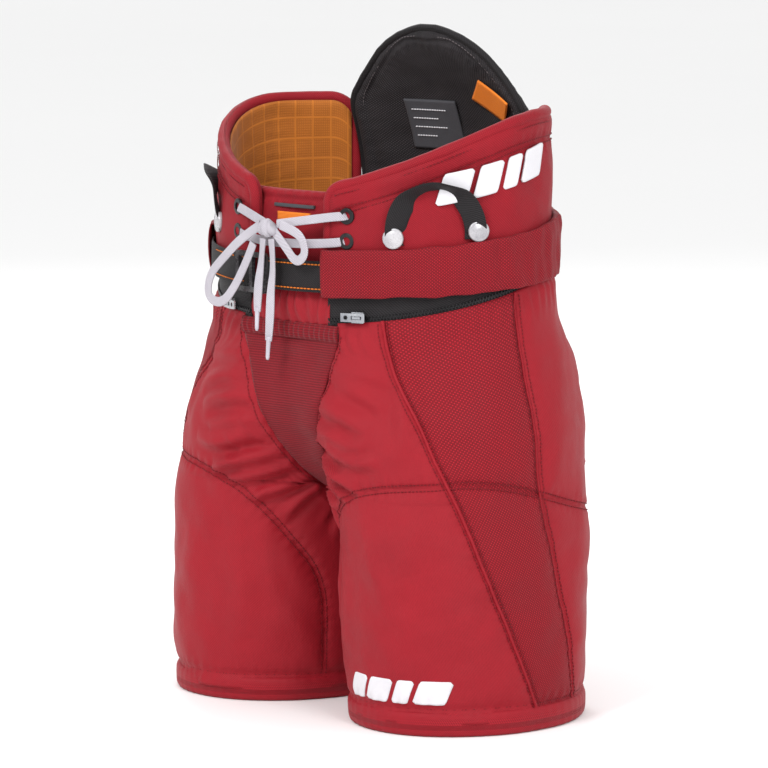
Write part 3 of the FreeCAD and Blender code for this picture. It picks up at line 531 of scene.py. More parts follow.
def studio():
    scene = bpy.context.scene
    camera_data = bpy.data.cameras.new("camera")
    camera = bpy.data.objects.new("camera", camera_data)
    scene.collection.objects.link(camera)
    camera.location = (2.986, -2.986, 0.850)
    aim = Vector((0.0, 0.0, 0.290))
    camera.rotation_euler = (aim - camera.location).to_track_quat("-Z", "Y").to_euler()
    camera_data.lens = 210.2
    camera_data.sensor_width = 36.0
    camera_data.shift_x = 0.0039
    camera_data.shift_y = 0.0148
    scene.camera = camera
    world = bpy.data.worlds.new("studio")
    world.use_nodes = True
    world.node_tree.nodes["Background"].inputs["Color"].default_value = (1.0, 1.0, 1.0, 1.0)
    world.node_tree.nodes["Background"].inputs["Strength"].default_value = 1.0
    scene.world = world
    scene.view_settings.view_transform = "Standard"
    floor_material = plain_material("floor", (243.445,) * 3, (242.249,) * 3, 0.9, scale=3.0, depth=0.0)
    reach = 60.0
    corners = [(-reach, -reach, 0), (reach, -reach, 0), (reach, reach, 0), (-reach, reach, 0)]
    floor = make_mesh("floor", corners, [(0, 1, 2, 3)], floor_material)
    for name, place, size, power in (
        ("key", (0.4, -2.6, 2.6), 1.0, 58.0),
        ("fill", (3.2, -1.0, 1.9), 1.2, 44.0),
        ("rim", (-2.2, 1.6, 2.2), 1.2, 34.0),
    ):
        light = bpy.data.lights.new(name, "AREA")
        light.size = size
        light.energy = power
        lamp = bpy.data.objects.new(name, light)
        lamp.location = place
        lamp.rotation_euler = (Vector((0, 0, 0.3)) - Vector(place)).to_track_quat("-Z", "Y").to_euler()
        scene.collection.objects.link(lamp)


studio()


# ---------------------------------------------------------------- laces

def spline_points(name, points):
    """Follows a smooth line through the control points, then reads it back as plain points."""
    curve = bpy.data.curves.new(name, "CURVE")
    curve.dimensions = "3D"
    line = curve.splines.new("NURBS")
    line.points.add(len(points) - 1)
    for spot, co in zip(line.points, points):
        spot.co = (*co, 1.0)
    line.order_u = 3
    line.use_endpoint_u = True
    curve.resolution_u = 16
    guide = bpy.data.objects.new(name, curve)
    bpy.context.scene.collection.objects.link(guide)
    bpy.context.view_layer.update()
    mesh = bpy.data.meshes.new_from_object(guide)
    found = np.array([v.co for v in mesh.vertices])
    bpy.data.objects.remove(guide)
    bpy.data.meshes.remove(mesh)
    return resample(found, 0.0011)


def ribbon(name, path, normals, width, thick, material):
    """Flat band along a path, its faces along the normals, with softly rounded edges."""
    path = np.asarray(path, float)
    tangents = unit(np.gradient(path, axis=0))
    normals = np.broadcast_to(np.asarray(normals, float), path.shape)
    sideways = unit(np.cross(tangents, normals))
    face = np.cross(sideways, tangents)
    steps = travelled(path)
    count = 26
    angles = [TAU * k / count for k in range(count)]
    profile = np.array([(rounded(math.cos(a), 0.45) * width, rounded(math.sin(a), 0.7) * thick) for a in angles]) / 2
    verts = path[:, None] + profile[None, :, :1] * sideways[:, None] + profile[None, :, 1:] * face[:, None]
    faces = grid_faces(len(path), count, wrap=True)
    faces += [tuple(reversed(range(count))), tuple(range((len(path) - 1) * count, len(path) * count))]
    round_profile = profile[None, :, 0] + (profile[None, :, 1] < 0) * 0.02
    uv = np.stack(np.broadcast_arrays(round_profile, steps[:, None]), axis=-1)
    return make_mesh(name, verts.reshape(-1, 3), faces, material, uv.reshape(-1, 2)), float(steps[-1])


LACE_FRONT = LACE_Y + SHIFT_Y
KNOT = np.array([-0.005, -0.139 + SHIFT_Y, 0.459])


def lay_lace(name, path, normals, width, nodes):
    """One run of the lace, which stands in for the CAD nodes of that name."""
    lace, length = ribbon(name, path, normals, width, LACE_THICK, LACE)
    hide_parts(nodes)
    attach(lace, "waist")
    route = [tuple(p) for p in path]
    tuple(route[0])


LACE_ROUTES = {
    "lace_loop_left": ("object", "loose", (
        (0.003, 0.456), (0.017, 0.444), (0.032, 0.4285), (0.045, 0.4375), (0.040, 0.453), (0.026, 0.4595),
        (0.011, 0.463))),
    "lace_loop_right": ("object", "hanging", (
        (-0.015, 0.461), (-0.040, 0.448), (-0.064, 0.4285), (-0.085, 0.410), (-0.0885, 0.388),
        (-0.0685, 0.383), (-0.051, 0.400), (-0.034, 0.426), (-0.025, 0.4435))),
    "lace_tail_left": ("fitting", "hanging", (
        (-0.001, 0.449), (0.002, 0.425), (-0.002, 0.400), (-0.003, 0.376), (-0.005, 0.354))),
    "lace_tail_right": ("fitting", "hanging", (
        (-0.012, 0.449), (-0.014, 0.427), (-0.019, 0.404), (-0.020, 0.380))),
}


def lace_tip(name, path):
    """Moulded tip over the end of a tail."""
    ahead = unit(path[-1] - path[-6])
    tip_path = path[-1] + ahead * np.linspace(-0.004, 0.018, 12)[:, None]
    size = np.interp(np.linspace(0, 1, 12), [0, 0.08, 0.16, 0.9, 1], [0.0030, 0.0032, 0.0026, 0.0021, 0.0013])
    tip = tube(name, tip_path, size, TIP, up=(0, -1, 0), ring=18, flat=0.72)
    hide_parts("lace_tips")
    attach(tip, "waist")
    return (tip,)


def make_laces():
    """The bow's two loops and two tails; the tails roll a little about their length."""
    for name, (end, lay, points) in LACE_ROUTES.items():
        path = spline_points(name + "_line", [(x, LACE_FRONT, z) for x, z in points])
        normals = np.broadcast_to(np.array([0.0, -1.0, 0.0]), path.shape)
        extra = ()
        if "tail" in name:
            roll = 0.28 * np.sin(np.linspace(0.4, 6.5, len(path)))[:, None]
            sideways = unit(np.cross(np.gradient(path, axis=0), normals))
            normals = normals * np.cos(roll) + sideways * np.sin(roll)
            extra = lace_tip(name.replace("tail", "tip"), path)
        lay_lace(name, path, normals, LACE_WIDTH, name)


def strand_front(x, z, proud):
    y = WAIST_Y - (WAIST_B + proud) * math.sqrt(1 - (x / (WAIST_A + proud)) ** 2)
    return (x, y + SHIFT_Y, z)


def make_strands():
    """The lacing between the eyelets and the knot."""
    for side, sign in (("left", 1), ("right", -1)):
        start = KNOT + np.array([sign * 0.0085, 0.004, 0.004])
        near = strand_front(sign * 0.060, 0.472, 0.0046)
        eye = strand_front(sign * (EYELET_X - 0.002), 0.473, 0.0034)
        into = strand_front(sign * EYELET_X, 0.473, -0.004)
        halfway = (start + np.array(near)) / 2
        path = spline_points("upper_line", [tuple(start), tuple(halfway), near, eye, into])
        lay_lace("lace_upper_" + side, path, (0.0, -1.0, 0.25), STRAND_WIDTH, "lace_upper_strands")
    points = [strand_front(-EYELET_X, 0.450, -0.004), strand_front(-0.068, 0.449, 0.0036)]
    points += [strand_front(-0.050, 0.447, 0.0046)]
    points += [(x, STRAND_FRONT_Y + SHIFT_Y, 0.4455) for x in (-0.020, 0.020)]
    points += [(-x, y, z) for x, y, z in reversed(points[:3])]
    path = spline_points("lower_line", points)
    lay_lace("lace_lower", path, (0.0, -1.0, 0.0), STRAND_WIDTH, "lace_lower_strand")


KNOT_WRAPS = (
    (0.0, 0.22, 0.0042, 0.0086, 0.0064),
    (-0.0052, -0.35, 0.0034, 0.0074, 0.0054),
    (0.0056, 0.75, 0.0034, 0.0070, 0.0052),
)


def make_knot():
    """Three rounded wraps, each with its shift, tilt, half width, half height and half depth."""
    verts, faces = [], []
    angles = np.linspace(0, TAU, 64, endpoint=False)
    for shift, tilt, half_x, half_z, half_y in KNOT_WRAPS:
        ring = np.stack([np.zeros(64), half_y * np.cos(angles), half_z * np.sin(angles)], axis=1)
        for spread in (-1.0, -0.5, 0.5, 1.0):
            bulge = 1.0 if abs(spread) < 0.9 else 0.82
            local = ring * bulge + np.array([spread * half_x, 0, 0])
            turned = local.copy()
            turned[:, 0] = local[:, 0] * math.cos(tilt) - local[:, 2] * math.sin(tilt)
            turned[:, 2] = local[:, 0] * math.sin(tilt) + local[:, 2] * math.cos(tilt)
            verts.append(KNOT + np.array([shift, 0, 0]) + turned)
        base = (len(verts) - 4) * 64
        faces += grid_faces(4, 64, base, wrap=True)
        faces += [tuple(base + k for k in reversed(range(64))), tuple(base + 192 + k for k in range(64))]
    uv = np.vstack([np.stack([np.full(64, 0.003 * k), angles * 0.007], axis=1) for k in range(len(verts))])
    knot = make_mesh("lace_knot_wraps", np.vstack(verts), faces, LACE, uv)
    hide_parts("lace_knot")
    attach(knot, "waist")


make_laces()
make_strands()
make_knot()


# ---------------------------------------------------------------- leg and hip shells

FRONT_SEAM = np.array([(-0.099, 0.440), (-0.099, 0.275), (-0.062, 0.145), (-0.002, 0.0)])
BACK_SEAM = np.array([(-0.004, 0.440), (0.002, 0.213), (0.051, 0.0)])
GUSSET_EDGE = np.array([
    (0.192, 0.004), (0.205, 0.012), (0.230, 0.021), (0.270, 0.033), (0.357, 0.062), (0.45, 0.066),
])


def eased(z, table):
    """Value along a seam at a height, with its corners softened."""
    levels, values = table[::-1, 1], table[::-1, 0]
    samples = [np.interp(z + d, levels, values) for d in (-0.022, -0.011, 0.0, 0.011, 0.022)]
    return sum(samples) / len(samples)


def phi_of_y(y, z):
    _, cy, _, ay = section(z)
    return np.arcsin(np.clip((y - cy) / ay, -0.999, 0.999))


def phi_front_seam(z):
    return phi_of_y(eased(z, FRONT_SEAM), z)


def phi_back_seam(z):
    return phi_of_y(eased(z, BACK_SEAM), z)


def phi_middle(z):
    """Angle at which the half-body meets the middle plane, or its inner side below the crotch."""
    cx, _, ax, _ = section(z)
    return np.arccos(np.clip((0.0004 - cx) / ax, -1, 1))


def phi_of_x_front(x, z):
    cx, _, ax, _ = section(z)
    return -np.arccos(np.clip((x - cx) / ax, -1, 1))


def gusset_half(z):
    return np.interp(z, GUSSET_EDGE[:, 0], GUSSET_EDGE[:, 1])


PAD_SEAM = np.array([
    (0.021, -0.050, 0.016), (0.021, -0.050, 0.070), (0.021, -0.052, 0.120), (0.030, -0.078, 0.152),
    (0.051, -0.110, 0.196), (0.082, -0.126, 0.216), (0.116, -0.133, 0.225), (0.150, -0.122, 0.229),
    (0.178, -0.102, 0.230), (0.199, -0.072, 0.234), (0.212, -0.010, 0.222), (0.206, 0.055, 0.201),
    (0.170, 0.110, 0.190), (0.110, 0.135, 0.186), (0.050, 0.110, 0.180), (0.022, 0.060, 0.172),
])


def pad_seam_line():
    """The curved seam above the thigh guard, as angles and heights."""
    cx, cy, ax, ay = section(PAD_SEAM[:, 2])
    phi = np.arctan2((PAD_SEAM[:, 1] - cy) / ay, (PAD_SEAM[:, 0] - cx) / ax)
    knots = np.arange(len(phi))
    fine = np.linspace(0, len(phi) - 1, 220)
    pair = np.stack([np.interp(fine, knots, phi), np.interp(fine, knots, PAD_SEAM[:, 2])], axis=1)
    kernel = np.ones(19) / 19
    padded_pair = np.vstack([np.repeat(pair[:1], 9, 0), pair, np.repeat(pair[-1:], 9, 0)])
    return np.stack([np.convolve(padded_pair[:, k], kernel, mode="valid") for k in range(2)], axis=1)


PAD_LINE = pad_seam_line()
HEM_STITCH_Z = 0.0255


def top_z(phi):
    """Height of the shell's top edge at an angle."""
    z = np.full_like(phi, 0.39)
    for _ in range(6):
        z = hip_top(body_point(phi, z)[..., 1] - SHIFT_Y)
    return z


def column_line(phi_of_z, low=0.016, high=0.42, count=110):
    z = np.linspace(low, high, count)
    phi = phi_of_z(z)
    z = np.minimum(z, top_z(phi))
    return np.stack([phi_of_z(z), z], axis=1)


def on_body(pairs):
    return body_point(pairs[:, 0], pairs[:, 1])


FRONT_LINE = column_line(phi_front_seam)
BACK_LINE = column_line(phi_back_seam)
GUSSET_Z = np.linspace(0.198, 0.366, 50)
GUSSET_LINE = np.stack([phi_of_x_front(gusset_half(GUSSET_Z), GUSSET_Z), GUSSET_Z], axis=1)
INNER_Z = np.linspace(0.016, 0.200, 40)
INNER_LINE = np.stack([np.full(40, -math.pi), INNER_Z], axis=1)
SEAT_Z = np.linspace(0.206, 0.41, 60)
SEAT_LINE = np.stack([phi_middle(SEAT_Z), SEAT_Z], axis=1)
SEAM_LINES = [on_body(line) for line in (FRONT_LINE, BACK_LINE, GUSSET_LINE, INNER_LINE, SEAT_LINE, PAD_LINE)]
HEM_RING = body_point(np.linspace(-math.pi, math.pi, 90), np.full(90, HEM_STITCH_Z))

# folds in millimetres: x and height of the start, the middle and the end, then the fold's height and width
FRONT_FOLDS = (
    (14, 214, 30, 196, 42, 176, 4, 5), (17, 222, 42, 208, 62, 198, 4.8, 5.6),
    (21, 233, 52, 222, 84, 214, 4.6, 6), (26, 246, 58, 238, 98, 226, 5, 7),
    (29, 260, 60, 262, 92, 248, 3.6, 6), (34, 276, 64, 276, 104, 262, 4, 7.5),
    (52, 256, 80, 244, 116, 252, 3.4, 6.5), (42, 300, 78, 296, 116, 278, 3, 8.5),
    (54, 336, 90, 328, 124, 334, 2.2, 10), (66, 312, 98, 314, 126, 300, 2.4, 8),
    (10, 204, 18, 182, 22, 160, 3.4, 5), (60, 236, 82, 226, 100, 222, 3, 4.5),
    (128, 330, 140, 300, 150, 262, 2, 9), (100, 190, 125, 150, 135, 100, 1.4, 12),
    (70, 160, 76, 110, 70, 60, 1.6, 13), (48, 170, 56, 130, 50, 90, 1.2, 9),
)
BACK_FOLDS = (
    (6, 214, 30, 198, 52, 190, 4.2, 5.5), (8, 226, 46, 210, 86, 202, 4.6, 6.5),
    (9, 242, 52, 230, 104, 220, 4.4, 7.5), (10, 262, 52, 256, 100, 250, 3.4, 8),
    (12, 286, 50, 282, 90, 286, 2.4, 9), (60, 330, 90, 300, 100, 262, 2.4, 9),
    (90, 170, 110, 130, 118, 80, 1.6, 11), (130, 350, 140, 320, 138, 290, 2.2, 8.5),
    (120, 235, 150, 225, 172, 232, 2.4, 6), (50, 150, 60, 110, 52, 60, 1.4, 11),
)


def fold_lines(side):
    rng = random.Random(11 if side == "left" else 29)
    lines = []
    for folds, sign in ((FRONT_FOLDS, -1), (BACK_FOLDS, 1)):
        for row in folds:
            *spots, height, width = np.array(row) / 1000
            nudged = [value + rng.uniform(-0.005, 0.005) for value in spots]
            start, middle, end = np.array(nudged).reshape(3, 2)
            t = np.linspace(0, 1, 14)[:, None]
            x, z = ((1 - t) ** 2 * start + 2 * t * (1 - t) * middle + t ** 2 * end).T
            cx, _, ax, _ = section(z)
            phi = sign * np.arccos(np.clip((x - cx) / ax, -1, 1))
            height *= rng.uniform(0.85, 1.2)
            lines.append((body_point(phi, z), height, width * rng.uniform(0.85, 1.2)))
    return lines


FOLDS = {side: fold_lines(side) for side in SIDES}


def relief(side, phi, z):
    """Height of the cloth above the shell's smooth form: padded between the seams, creased at the groin."""
    place = body_point(phi, z)
    seed = 3 if side == "left" else 41
    height = 0.0016 * value_noise(place, 0.085, seed) + 0.0007 * value_noise(place, 0.030, seed + 1)
    nearest = np.full(place.shape[:-1], 9.0)
    along = np.zeros(place.shape[:-1])
    for line in SEAM_LINES + [HEM_RING]:
        d, s = distance_to(place, line)
        along = np.where(d < nearest, s, along)
        nearest = np.minimum(nearest, d)
    height += 0.0034 * (1 - np.exp(-nearest / 0.010)) - 0.0014 * np.exp(-(nearest / 0.0022) ** 2)
    ripple = np.sin(along * TAU / 0.0105 + 2.0 * value_noise(place, 0.05, seed + 2))
    height += 0.0007 * ripple * np.exp(-((nearest - 0.005) / 0.0045) ** 2)
    for line, tall, wide in FOLDS[side]:
        d, s = distance_to(place, line)
        total = np.linalg.norm(np.diff(line, axis=0), axis=1).sum()
        fade = np.sin(np.pi * np.clip(s / total, 0.0, 1.0)) ** 0.6
        ridge = np.exp(-np.abs(d / wide) ** 1.5) - 0.45 * np.exp(-((d - 1.55 * wide) / (0.7 * wide)) ** 2)
        height += 1.5 * fade * tall * ridge
    reach = np.sqrt((place[..., 0] - 0.010) ** 2 + 1.6 * (place[..., 2] - 0.235) ** 2)
    angle = np.arctan2(place[..., 2] - 0.235, place[..., 0] - 0.010)
    fan = 1 - np.abs(np.sin(angle * 9.0 + 1.2 * value_noise(place, 0.05, seed + 7)))
    height += 0.0026 * fan ** 2 * smooth((reach - 0.008) / 0.015) * smooth((0.105 - reach) / 0.06)
    rise = smooth((z - (top_z(phi) - 0.040)) / 0.036)
    arc = phi * 0.15
    height += 0.0011 * rise * np.sin(arc * TAU / 0.0135 + 1.6 * value_noise(place, 0.06, seed + 4))
    edge = smooth((z - (top_z(phi) - 0.012)) / 0.011)
    return height * (1 - 0.8 * edge)


def side_out(points, side):
    return points * np.array([1.0 if side == "left" else -1.0, 1.0, 1.0])


def cloth_point(side, phi, z, lift=0.0):
    """Point on the finished cloth of either leg."""
    phi, z = np.asarray(phi, float), np.asarray(z, float)
    return side_out(body_point(phi, z, relief(side, phi, z) + lift), side)


def cloth_normal(side, phi, z):
    return side_out(body_point(phi, z, 1.0) - body_point(phi, z, 0.0), side)


def to_leg(obj):
    """Cloth that hangs between waist and leg; its placement is baked into its mesh."""
    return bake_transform(obj)


def panel(name, side, phi_low, phi_high, cols, material, sink=0.0, rows=122, low=0.012):
    """A cloth panel of the shell between two upright seams."""
    t = np.linspace(0, 1, cols)
    top = np.full(cols, 0.39)
    for _ in range(6):
        phi = phi_low(top) + t * (phi_high(top) - phi_low(top))
        top = hip_top(body_point(phi, top)[:, 1] - SHIFT_Y)
    z = low + np.linspace(0, 1, rows)[:, None] * (top - low)[None, :]
    phi = phi_low(z) + t[None, :] * (phi_high(z) - phi_low(z))
    height = relief(side, phi, z) - sink
    place = body_point(phi, z)
    behind_gusset = smooth((gusset_half(z) - place[..., 0]) / 0.006) * smooth((z - 0.205) / 0.02)
    height = height - 0.012 * behind_gusset * (place[..., 1] < 0)
    outer = body_point(phi, z, height)
    inner = body_point(phi, z, np.minimum(height, 0.004) - 0.0024)
    if side == "right":
        outer, inner = mirror_grid(outer), mirror_grid(inner)
    return slab(name, outer, inner, material)


def inner_edge(z):
    return -phi_middle(z)


for side in SIDES:
    front = panel("front_cloth_" + side, side, inner_edge, phi_front_seam, 92, NYLON)
    back = panel("back_cloth_" + side, side, phi_back_seam, phi_middle, 92, NYLON)
    mesh_panel = panel("side_mesh_" + side, side, phi_front_seam, phi_back_seam, 40, MESH, sink=0.0004)
    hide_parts("thigh_shell_" + side, "groin_sleeve_" + side, "hip_shell_" + side)
    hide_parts("thigh_shell_" + side, "groin_sleeve_" + side, "hip_shell_" + side)
    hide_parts("thigh_side_panel_" + side, "hip_side_panel_" + side)
    for piece in (front, back, mesh_panel):
        to_leg(piece)
    for name, line, radius in (("front_piping_", FRONT_LINE, 0.0019), ("back_piping_", BACK_LINE, 0.0013)):
        path = resample(cloth_point(side, line[:, 0], line[:, 1], 0.0006), 0.003)
        to_leg(tube(name + side, path, radius, NYLON, up=(0, 0.2, 1), ring=10))


# ---------------------------------------------------------------- gusset, hem bands

def gusset():
    """Ribbed knit panel at the front of the crotch, with its gathered elastic top."""
    rows, cols = 62, 44
    z = over_rows(0.200, GUSSET_TOP_Z + 0.002, rows, cols)
    x = np.linspace(-1, 1, cols)[None, :] * (gusset_half(z) + 0.001)
    edge_phi = phi_of_x_front(gusset_half(z), z)
    edge_y = body_point(edge_phi, z, 0.0)[..., 1]
    share = np.abs(x) / (gusset_half(z) + 0.001)
    place = np.stack([x, edge_y, z], axis=-1)
    sag = 0.0040 * (1 - share ** 2) * smooth((z - 0.205) / 0.06)
    wrinkle = 0.0012 * value_noise(place * np.array([0.6, 1.0, 1.6]), 0.028, 77) * (1 - share ** 4)
    lift = 0.0028 * (1 - share ** 8) + wrinkle - sag
    outer = place - np.array([0, 1.0, 0]) * lift[..., None]
    inner = outer + np.array([0, 0.0030, 0])
    knit = slab("gusset_knit_panel", outer, inner, KNIT)
    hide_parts("front_gusset")
    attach(knit, "waist")
    rows, cols = 12, 190
    z = over_rows(GUSSET_TOP_Z - 0.001, ELASTIC_TOP_Z + 0.001, rows, cols)
    x = over_cols(-0.0635, 0.0635, rows, cols)
    base_y = body_point(phi_of_x_front(np.full_like(x, 0.0625), z), z)[..., 1]
    belly = 0.0045 * (1 - (x / 0.0635) ** 2)
    gather = 0.0006 * np.sin(x * TAU / 0.0068 + 0.8 * value_noise(np.stack([x, base_y, z], -1), 0.02, 5))
    band = 0.0022 * np.sin(np.pi * np.linspace(0, 1, rows))[:, None] ** 0.6
    front = base_y - 0.0022 - band - gather * (0.4 + 0.6 * (band / 0.0022)) + belly * 0.2
    outer = np.stack([x, front, z], axis=-1)
    inner = outer + np.array([0, 0.0040, 0])
    elastic = slab("gusset_elastic_band", outer, inner, KNIT)
    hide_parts("gusset_elastic")
    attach(elastic, "waist")


def hem_band(side):
    """Rolled and padded hem ring, puckered by its stitching."""
    cols, ring = 300, 26
    phi = np.linspace(-math.pi, math.pi, cols, endpoint=False)
    turn = np.linspace(0, TAU, ring, endpoint=False)
    thick, high = 0.0125, HEM_TOP / 2 + 0.0015
    seed = 8 if side == "left" else 19
    spot = body_point(phi, np.full(cols, 0.010))
    pucker = 0.00025 * np.sin(phi * 62 + 2.4 * value_noise(spot, 0.05, seed))
    pucker = pucker + 0.0007 * value_noise(spot, 0.07, seed + 1)
    rings = []
    for angle in turn:
        c, s = math.cos(angle), math.sin(angle)
        rise = rounded(s, 0.62) * high
        out = HEM_PROUD - thick / 2 + rounded(c, 0.55) * thick / 2
        if c > 0:
            out = out + pucker * (0.4 + 0.6 * abs(s))
        z = np.full(cols, high + rise)
        rings.append(body_point(phi, np.maximum(z, 0.0005), out))
    grid = side_out(np.stack(rings, axis=1), side)
    faces = []
    for r in range(cols):
        for c in range(ring):
            a, b = r * ring + c, r * ring + (c + 1) % ring
            d, e = ((r + 1) % cols) * ring + c, ((r + 1) % cols) * ring + (c + 1) % ring
            faces.append((a, d, e, b) if side == "left" else (a, b, e, d))
    uv = np.stack(np.broadcast_arrays(phi[:, None] * 0.11, turn[None] * 0.008), axis=-1)
    band = make_mesh("hem_roll_" + side, grid.reshape(-1, 3), faces, NYLON, uv.reshape(-1, 2))
    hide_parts("hem_band_" + side)
    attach(band, "leg_" + side)


gusset()
for side in SIDES:
    hem_band(side)


# ---------------------------------------------------------------- padded pieces above the belt

def pillow(name, middle, normals, thick_out, thick_in, material, edge, seed, soft, seams=(), groove=0.0016,
           puff=0.0):
    """Closed padded piece about a middle surface: rounded rim, sunk seams and a lightly uneven face."""
    rim = np.vstack([middle[0], middle[:, -1], middle[-1][::-1], middle[::-1, 0]])
    near, _ = distance_to(middle, resample(rim, 0.004))
    reach = np.clip(near / edge, 0, 1)
    shape = 0.22 + 0.78 * np.sqrt(1 - (1 - reach) ** 2)
    sunk = np.zeros(middle.shape[:-1])
    fill = 1 - np.exp(-near / 0.016)
    for line in seams:
        d, s = distance_to(middle, line)
        sunk += groove * np.exp(-(d / 0.0026) ** 2)
        sunk += 0.0005 * np.exp(-((d - 0.006) / 0.004) ** 2) * (1 + np.sin(s * TAU / 0.011))
        fill = np.minimum(fill, 1 - np.exp(-d / 0.016))
    wave = soft * value_noise(middle, 0.06, seed) + 0.4 * soft * value_noise(middle, 0.024, seed + 1)
    out = thick_out * shape + puff * fill + wave * reach - sunk
    back = thick_in * shape + puff * 0.5 * fill - wave * reach - sunk * 0.6
    return slab(name, middle + normals * out[..., None], middle - normals * back[..., None], material)


def oval_grid(phi, z, out):
    return waist_point(phi, z, out), waist_point(phi, z, 1.0) - waist_point(phi, z, 0.0)


def oval_patch(side, phi, z, out):
    """Middle surface and normals on the waist oval for one side of the body."""
    middle, normals = oval_grid(phi, z, out)
    if side == "right":
        return mirror_grid(middle), mirror_grid(normals)
    return middle, normals


WING_FRONT_PHI = float(waist_phi_front(WING_FRONT_X))
WING_BACK_PHI = math.acos(WING_BACK_X / WAIST_A)


def wing_edge_top(phi):
    """Top edge of a wing with its two rounded corners."""
    y = WAIST_Y + WAIST_B * np.sin(phi)
    arc_front = (phi - WING_FRONT_PHI) * 0.150
    arc_back = (WING_BACK_PHI - phi) * 0.160
    top = wing_top(y)
    for arc, radius in ((arc_front, 0.012), (arc_back, 0.026)):
        gap = np.clip(radius - arc, 0, radius)
        top = top - (radius - np.sqrt(np.maximum(radius ** 2 - gap ** 2, 0)))
    return top


def wing_grid(cols=96, rows=58, low_lift=0.004, cut=0.0, trim=0.0):
    phi = np.linspace(WING_FRONT_PHI + trim, WING_BACK_PHI - trim, cols)
    y = WAIST_Y + WAIST_B * np.sin(phi)
    low = tunnel_bottom(y) + low_lift
    top = wing_edge_top(phi) - cut
    return phi[None, :] * np.ones((rows, 1)), low + np.linspace(0, 1, rows)[:, None] * (top - low)


def wings(side):
    phi, z = wing_grid(cut=0.003)
    middle, normals = oval_patch(side, phi, z, -0.0045)
    edge = phi[0]
    seam, _ = oval_patch(side, edge[None, :], (wing_edge_top(edge) - 0.026)[None, :], -0.0045)
    wing = pillow("wing_cloth_" + side, middle, normals, 0.0046, 0.0040, WING, edge=0.008, seams=[seam[0]],
                  seed=31 if side == "left" else 37, soft=0.0014, puff=0.0018)
    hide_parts("wing_" + side)
    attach(wing, "waist")
    phi, z = wing_grid(low_lift=0.006, cut=0.006, trim=0.02)
    middle, normals = oval_patch(side, phi, z, -0.0120)
    upright, _ = oval_patch(side, np.full((1, 20), 0.15), np.linspace(0.44, 0.55, 20)[None], -0.0120)
    lining = pillow("lining_cloth_" + side, middle, normals, 0.0012, 0.0018, LINING, edge=0.004,
                    seed=51 if side == "left" else 57, soft=0.0010, seams=[upright[0]], groove=0.0010,
                    puff=0.0008)
    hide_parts("wing_lining_" + side)
    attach(lining, "waist")
    phi = np.linspace(WING_FRONT_PHI, WING_BACK_PHI, 150)
    heights = wing_edge_top(phi) - 0.0035
    foot = np.linspace(0, 1, 14)
    front = waist_point(np.full(14, WING_FRONT_PHI), 0.425 + foot * (heights[0] - 0.425), -0.0055)
    back = waist_point(np.full(14, WING_BACK_PHI), heights[-1] - foot * (heights[-1] - 0.480), -0.0055)
    path = resample(np.vstack([front[:-1], waist_point(phi, heights, -0.0055), back[1:]]), 0.003)
    path = side_out(path, side)
    around = oval_outward(path)
    lumps = 0.0056 + 0.0003 * value_noise(path, 0.02, 61)
    roll = tube("wing_edge_roll_" + side, path, lumps, WING, up=around, ring=18, flat=1.05)
    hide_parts("wing_binding_" + side)
    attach(roll, "waist")


for side in SIDES:
    wings(side)


def flat_front(x, z, proud):
    y = WAIST_Y - (WAIST_B + proud) * np.sqrt(1 - (x / (WAIST_A + proud)) ** 2)
    return np.stack([x, y + SHIFT_Y, z], axis=-1)


def front_y(x):
    """Depth of the waist oval's front."""
    return WAIST_Y - WAIST_B * np.sqrt(1 - (x / WAIST_A) ** 2)


def front_normals(x, z):
    return flat_front(x, z, 1.0) - flat_front(x, z, 0.0)


def tongue():
    rows, cols = 60, 80
    z = over_rows(0.376, 0.4925, rows, cols)
    corner = 0.016
    rise = np.clip(z - (0.4925 - corner), 0, corner)
    half = 0.076 - (corner - np.sqrt(np.maximum(corner ** 2 - rise ** 2, 0)))
    x = np.linspace(-1, 1, cols)[None, :] * half
    middle = flat_front(x, z, -0.018)
    normals = unit(front_normals(x, z))
    share = np.linspace(-1, 1, 60)
    seam = flat_front(share * 0.068, 0.4845 - 0.010 * np.maximum(0.0, np.abs(share) - 0.88) / 0.12, -0.018)
    piece = pillow("tongue_cloth", middle, normals, 0.0050, 0.0048, WING, edge=0.007, seed=71, soft=0.0016,
                   seams=[seam], puff=0.002)
    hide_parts("tongue")
    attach(piece, "tongue")
    for name, material, heights, low, high in (
        ("tongue_bar_grey", LABEL, (0.4765, 0.4795), -0.026, 0.026),
        ("tongue_bar_orange", TAG, (0.4640, 0.4720), -0.021, 0.021),
    ):
        x = np.linspace(low, high, 24)[None, :] * np.ones((6, 1))
        z = np.linspace(*heights, 6)[:, None] * np.ones((1, 24))
        bar = slab(name, flat_front(x, z, -0.0104), flat_front(x, z, -0.0135), material)
        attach(bar, "tongue")


def spine_half(share):
    return SPINE_HALF_X * np.interp(share, [0, 0.45, 0.51, 0.56, 0.66, 0.76, 0.83, 0.89, 0.94, 0.98, 1.0],
                                     [1.0, 1.0, 0.985, 0.955, 0.85, 0.72, 0.62, 0.50, 0.36, 0.19, 0.05])


def spine_z(share):
    """Height at a share of the spine pad's rise."""
    return SPINE_LOW_Z + share * (SPINE_TOP_Z - SPINE_LOW_Z)


def spine_point(x, z, proud):
    """Point behind the wearer's back, on the oval that leans forward as it rises."""
    share = np.clip((z - SPINE_LOW_Z) / (SPINE_TOP_Z - SPINE_LOW_Z), 0, 1)
    arc = np.sqrt(np.maximum(1 - (x / (WAIST_A + proud)) ** 2, 0.05))
    y = WAIST_Y - SPINE_LEAN * share ** SPINE_LEAN_GROWTH + (WAIST_B + proud) * arc
    return np.stack([x, y + SHIFT_Y, z], axis=-1)


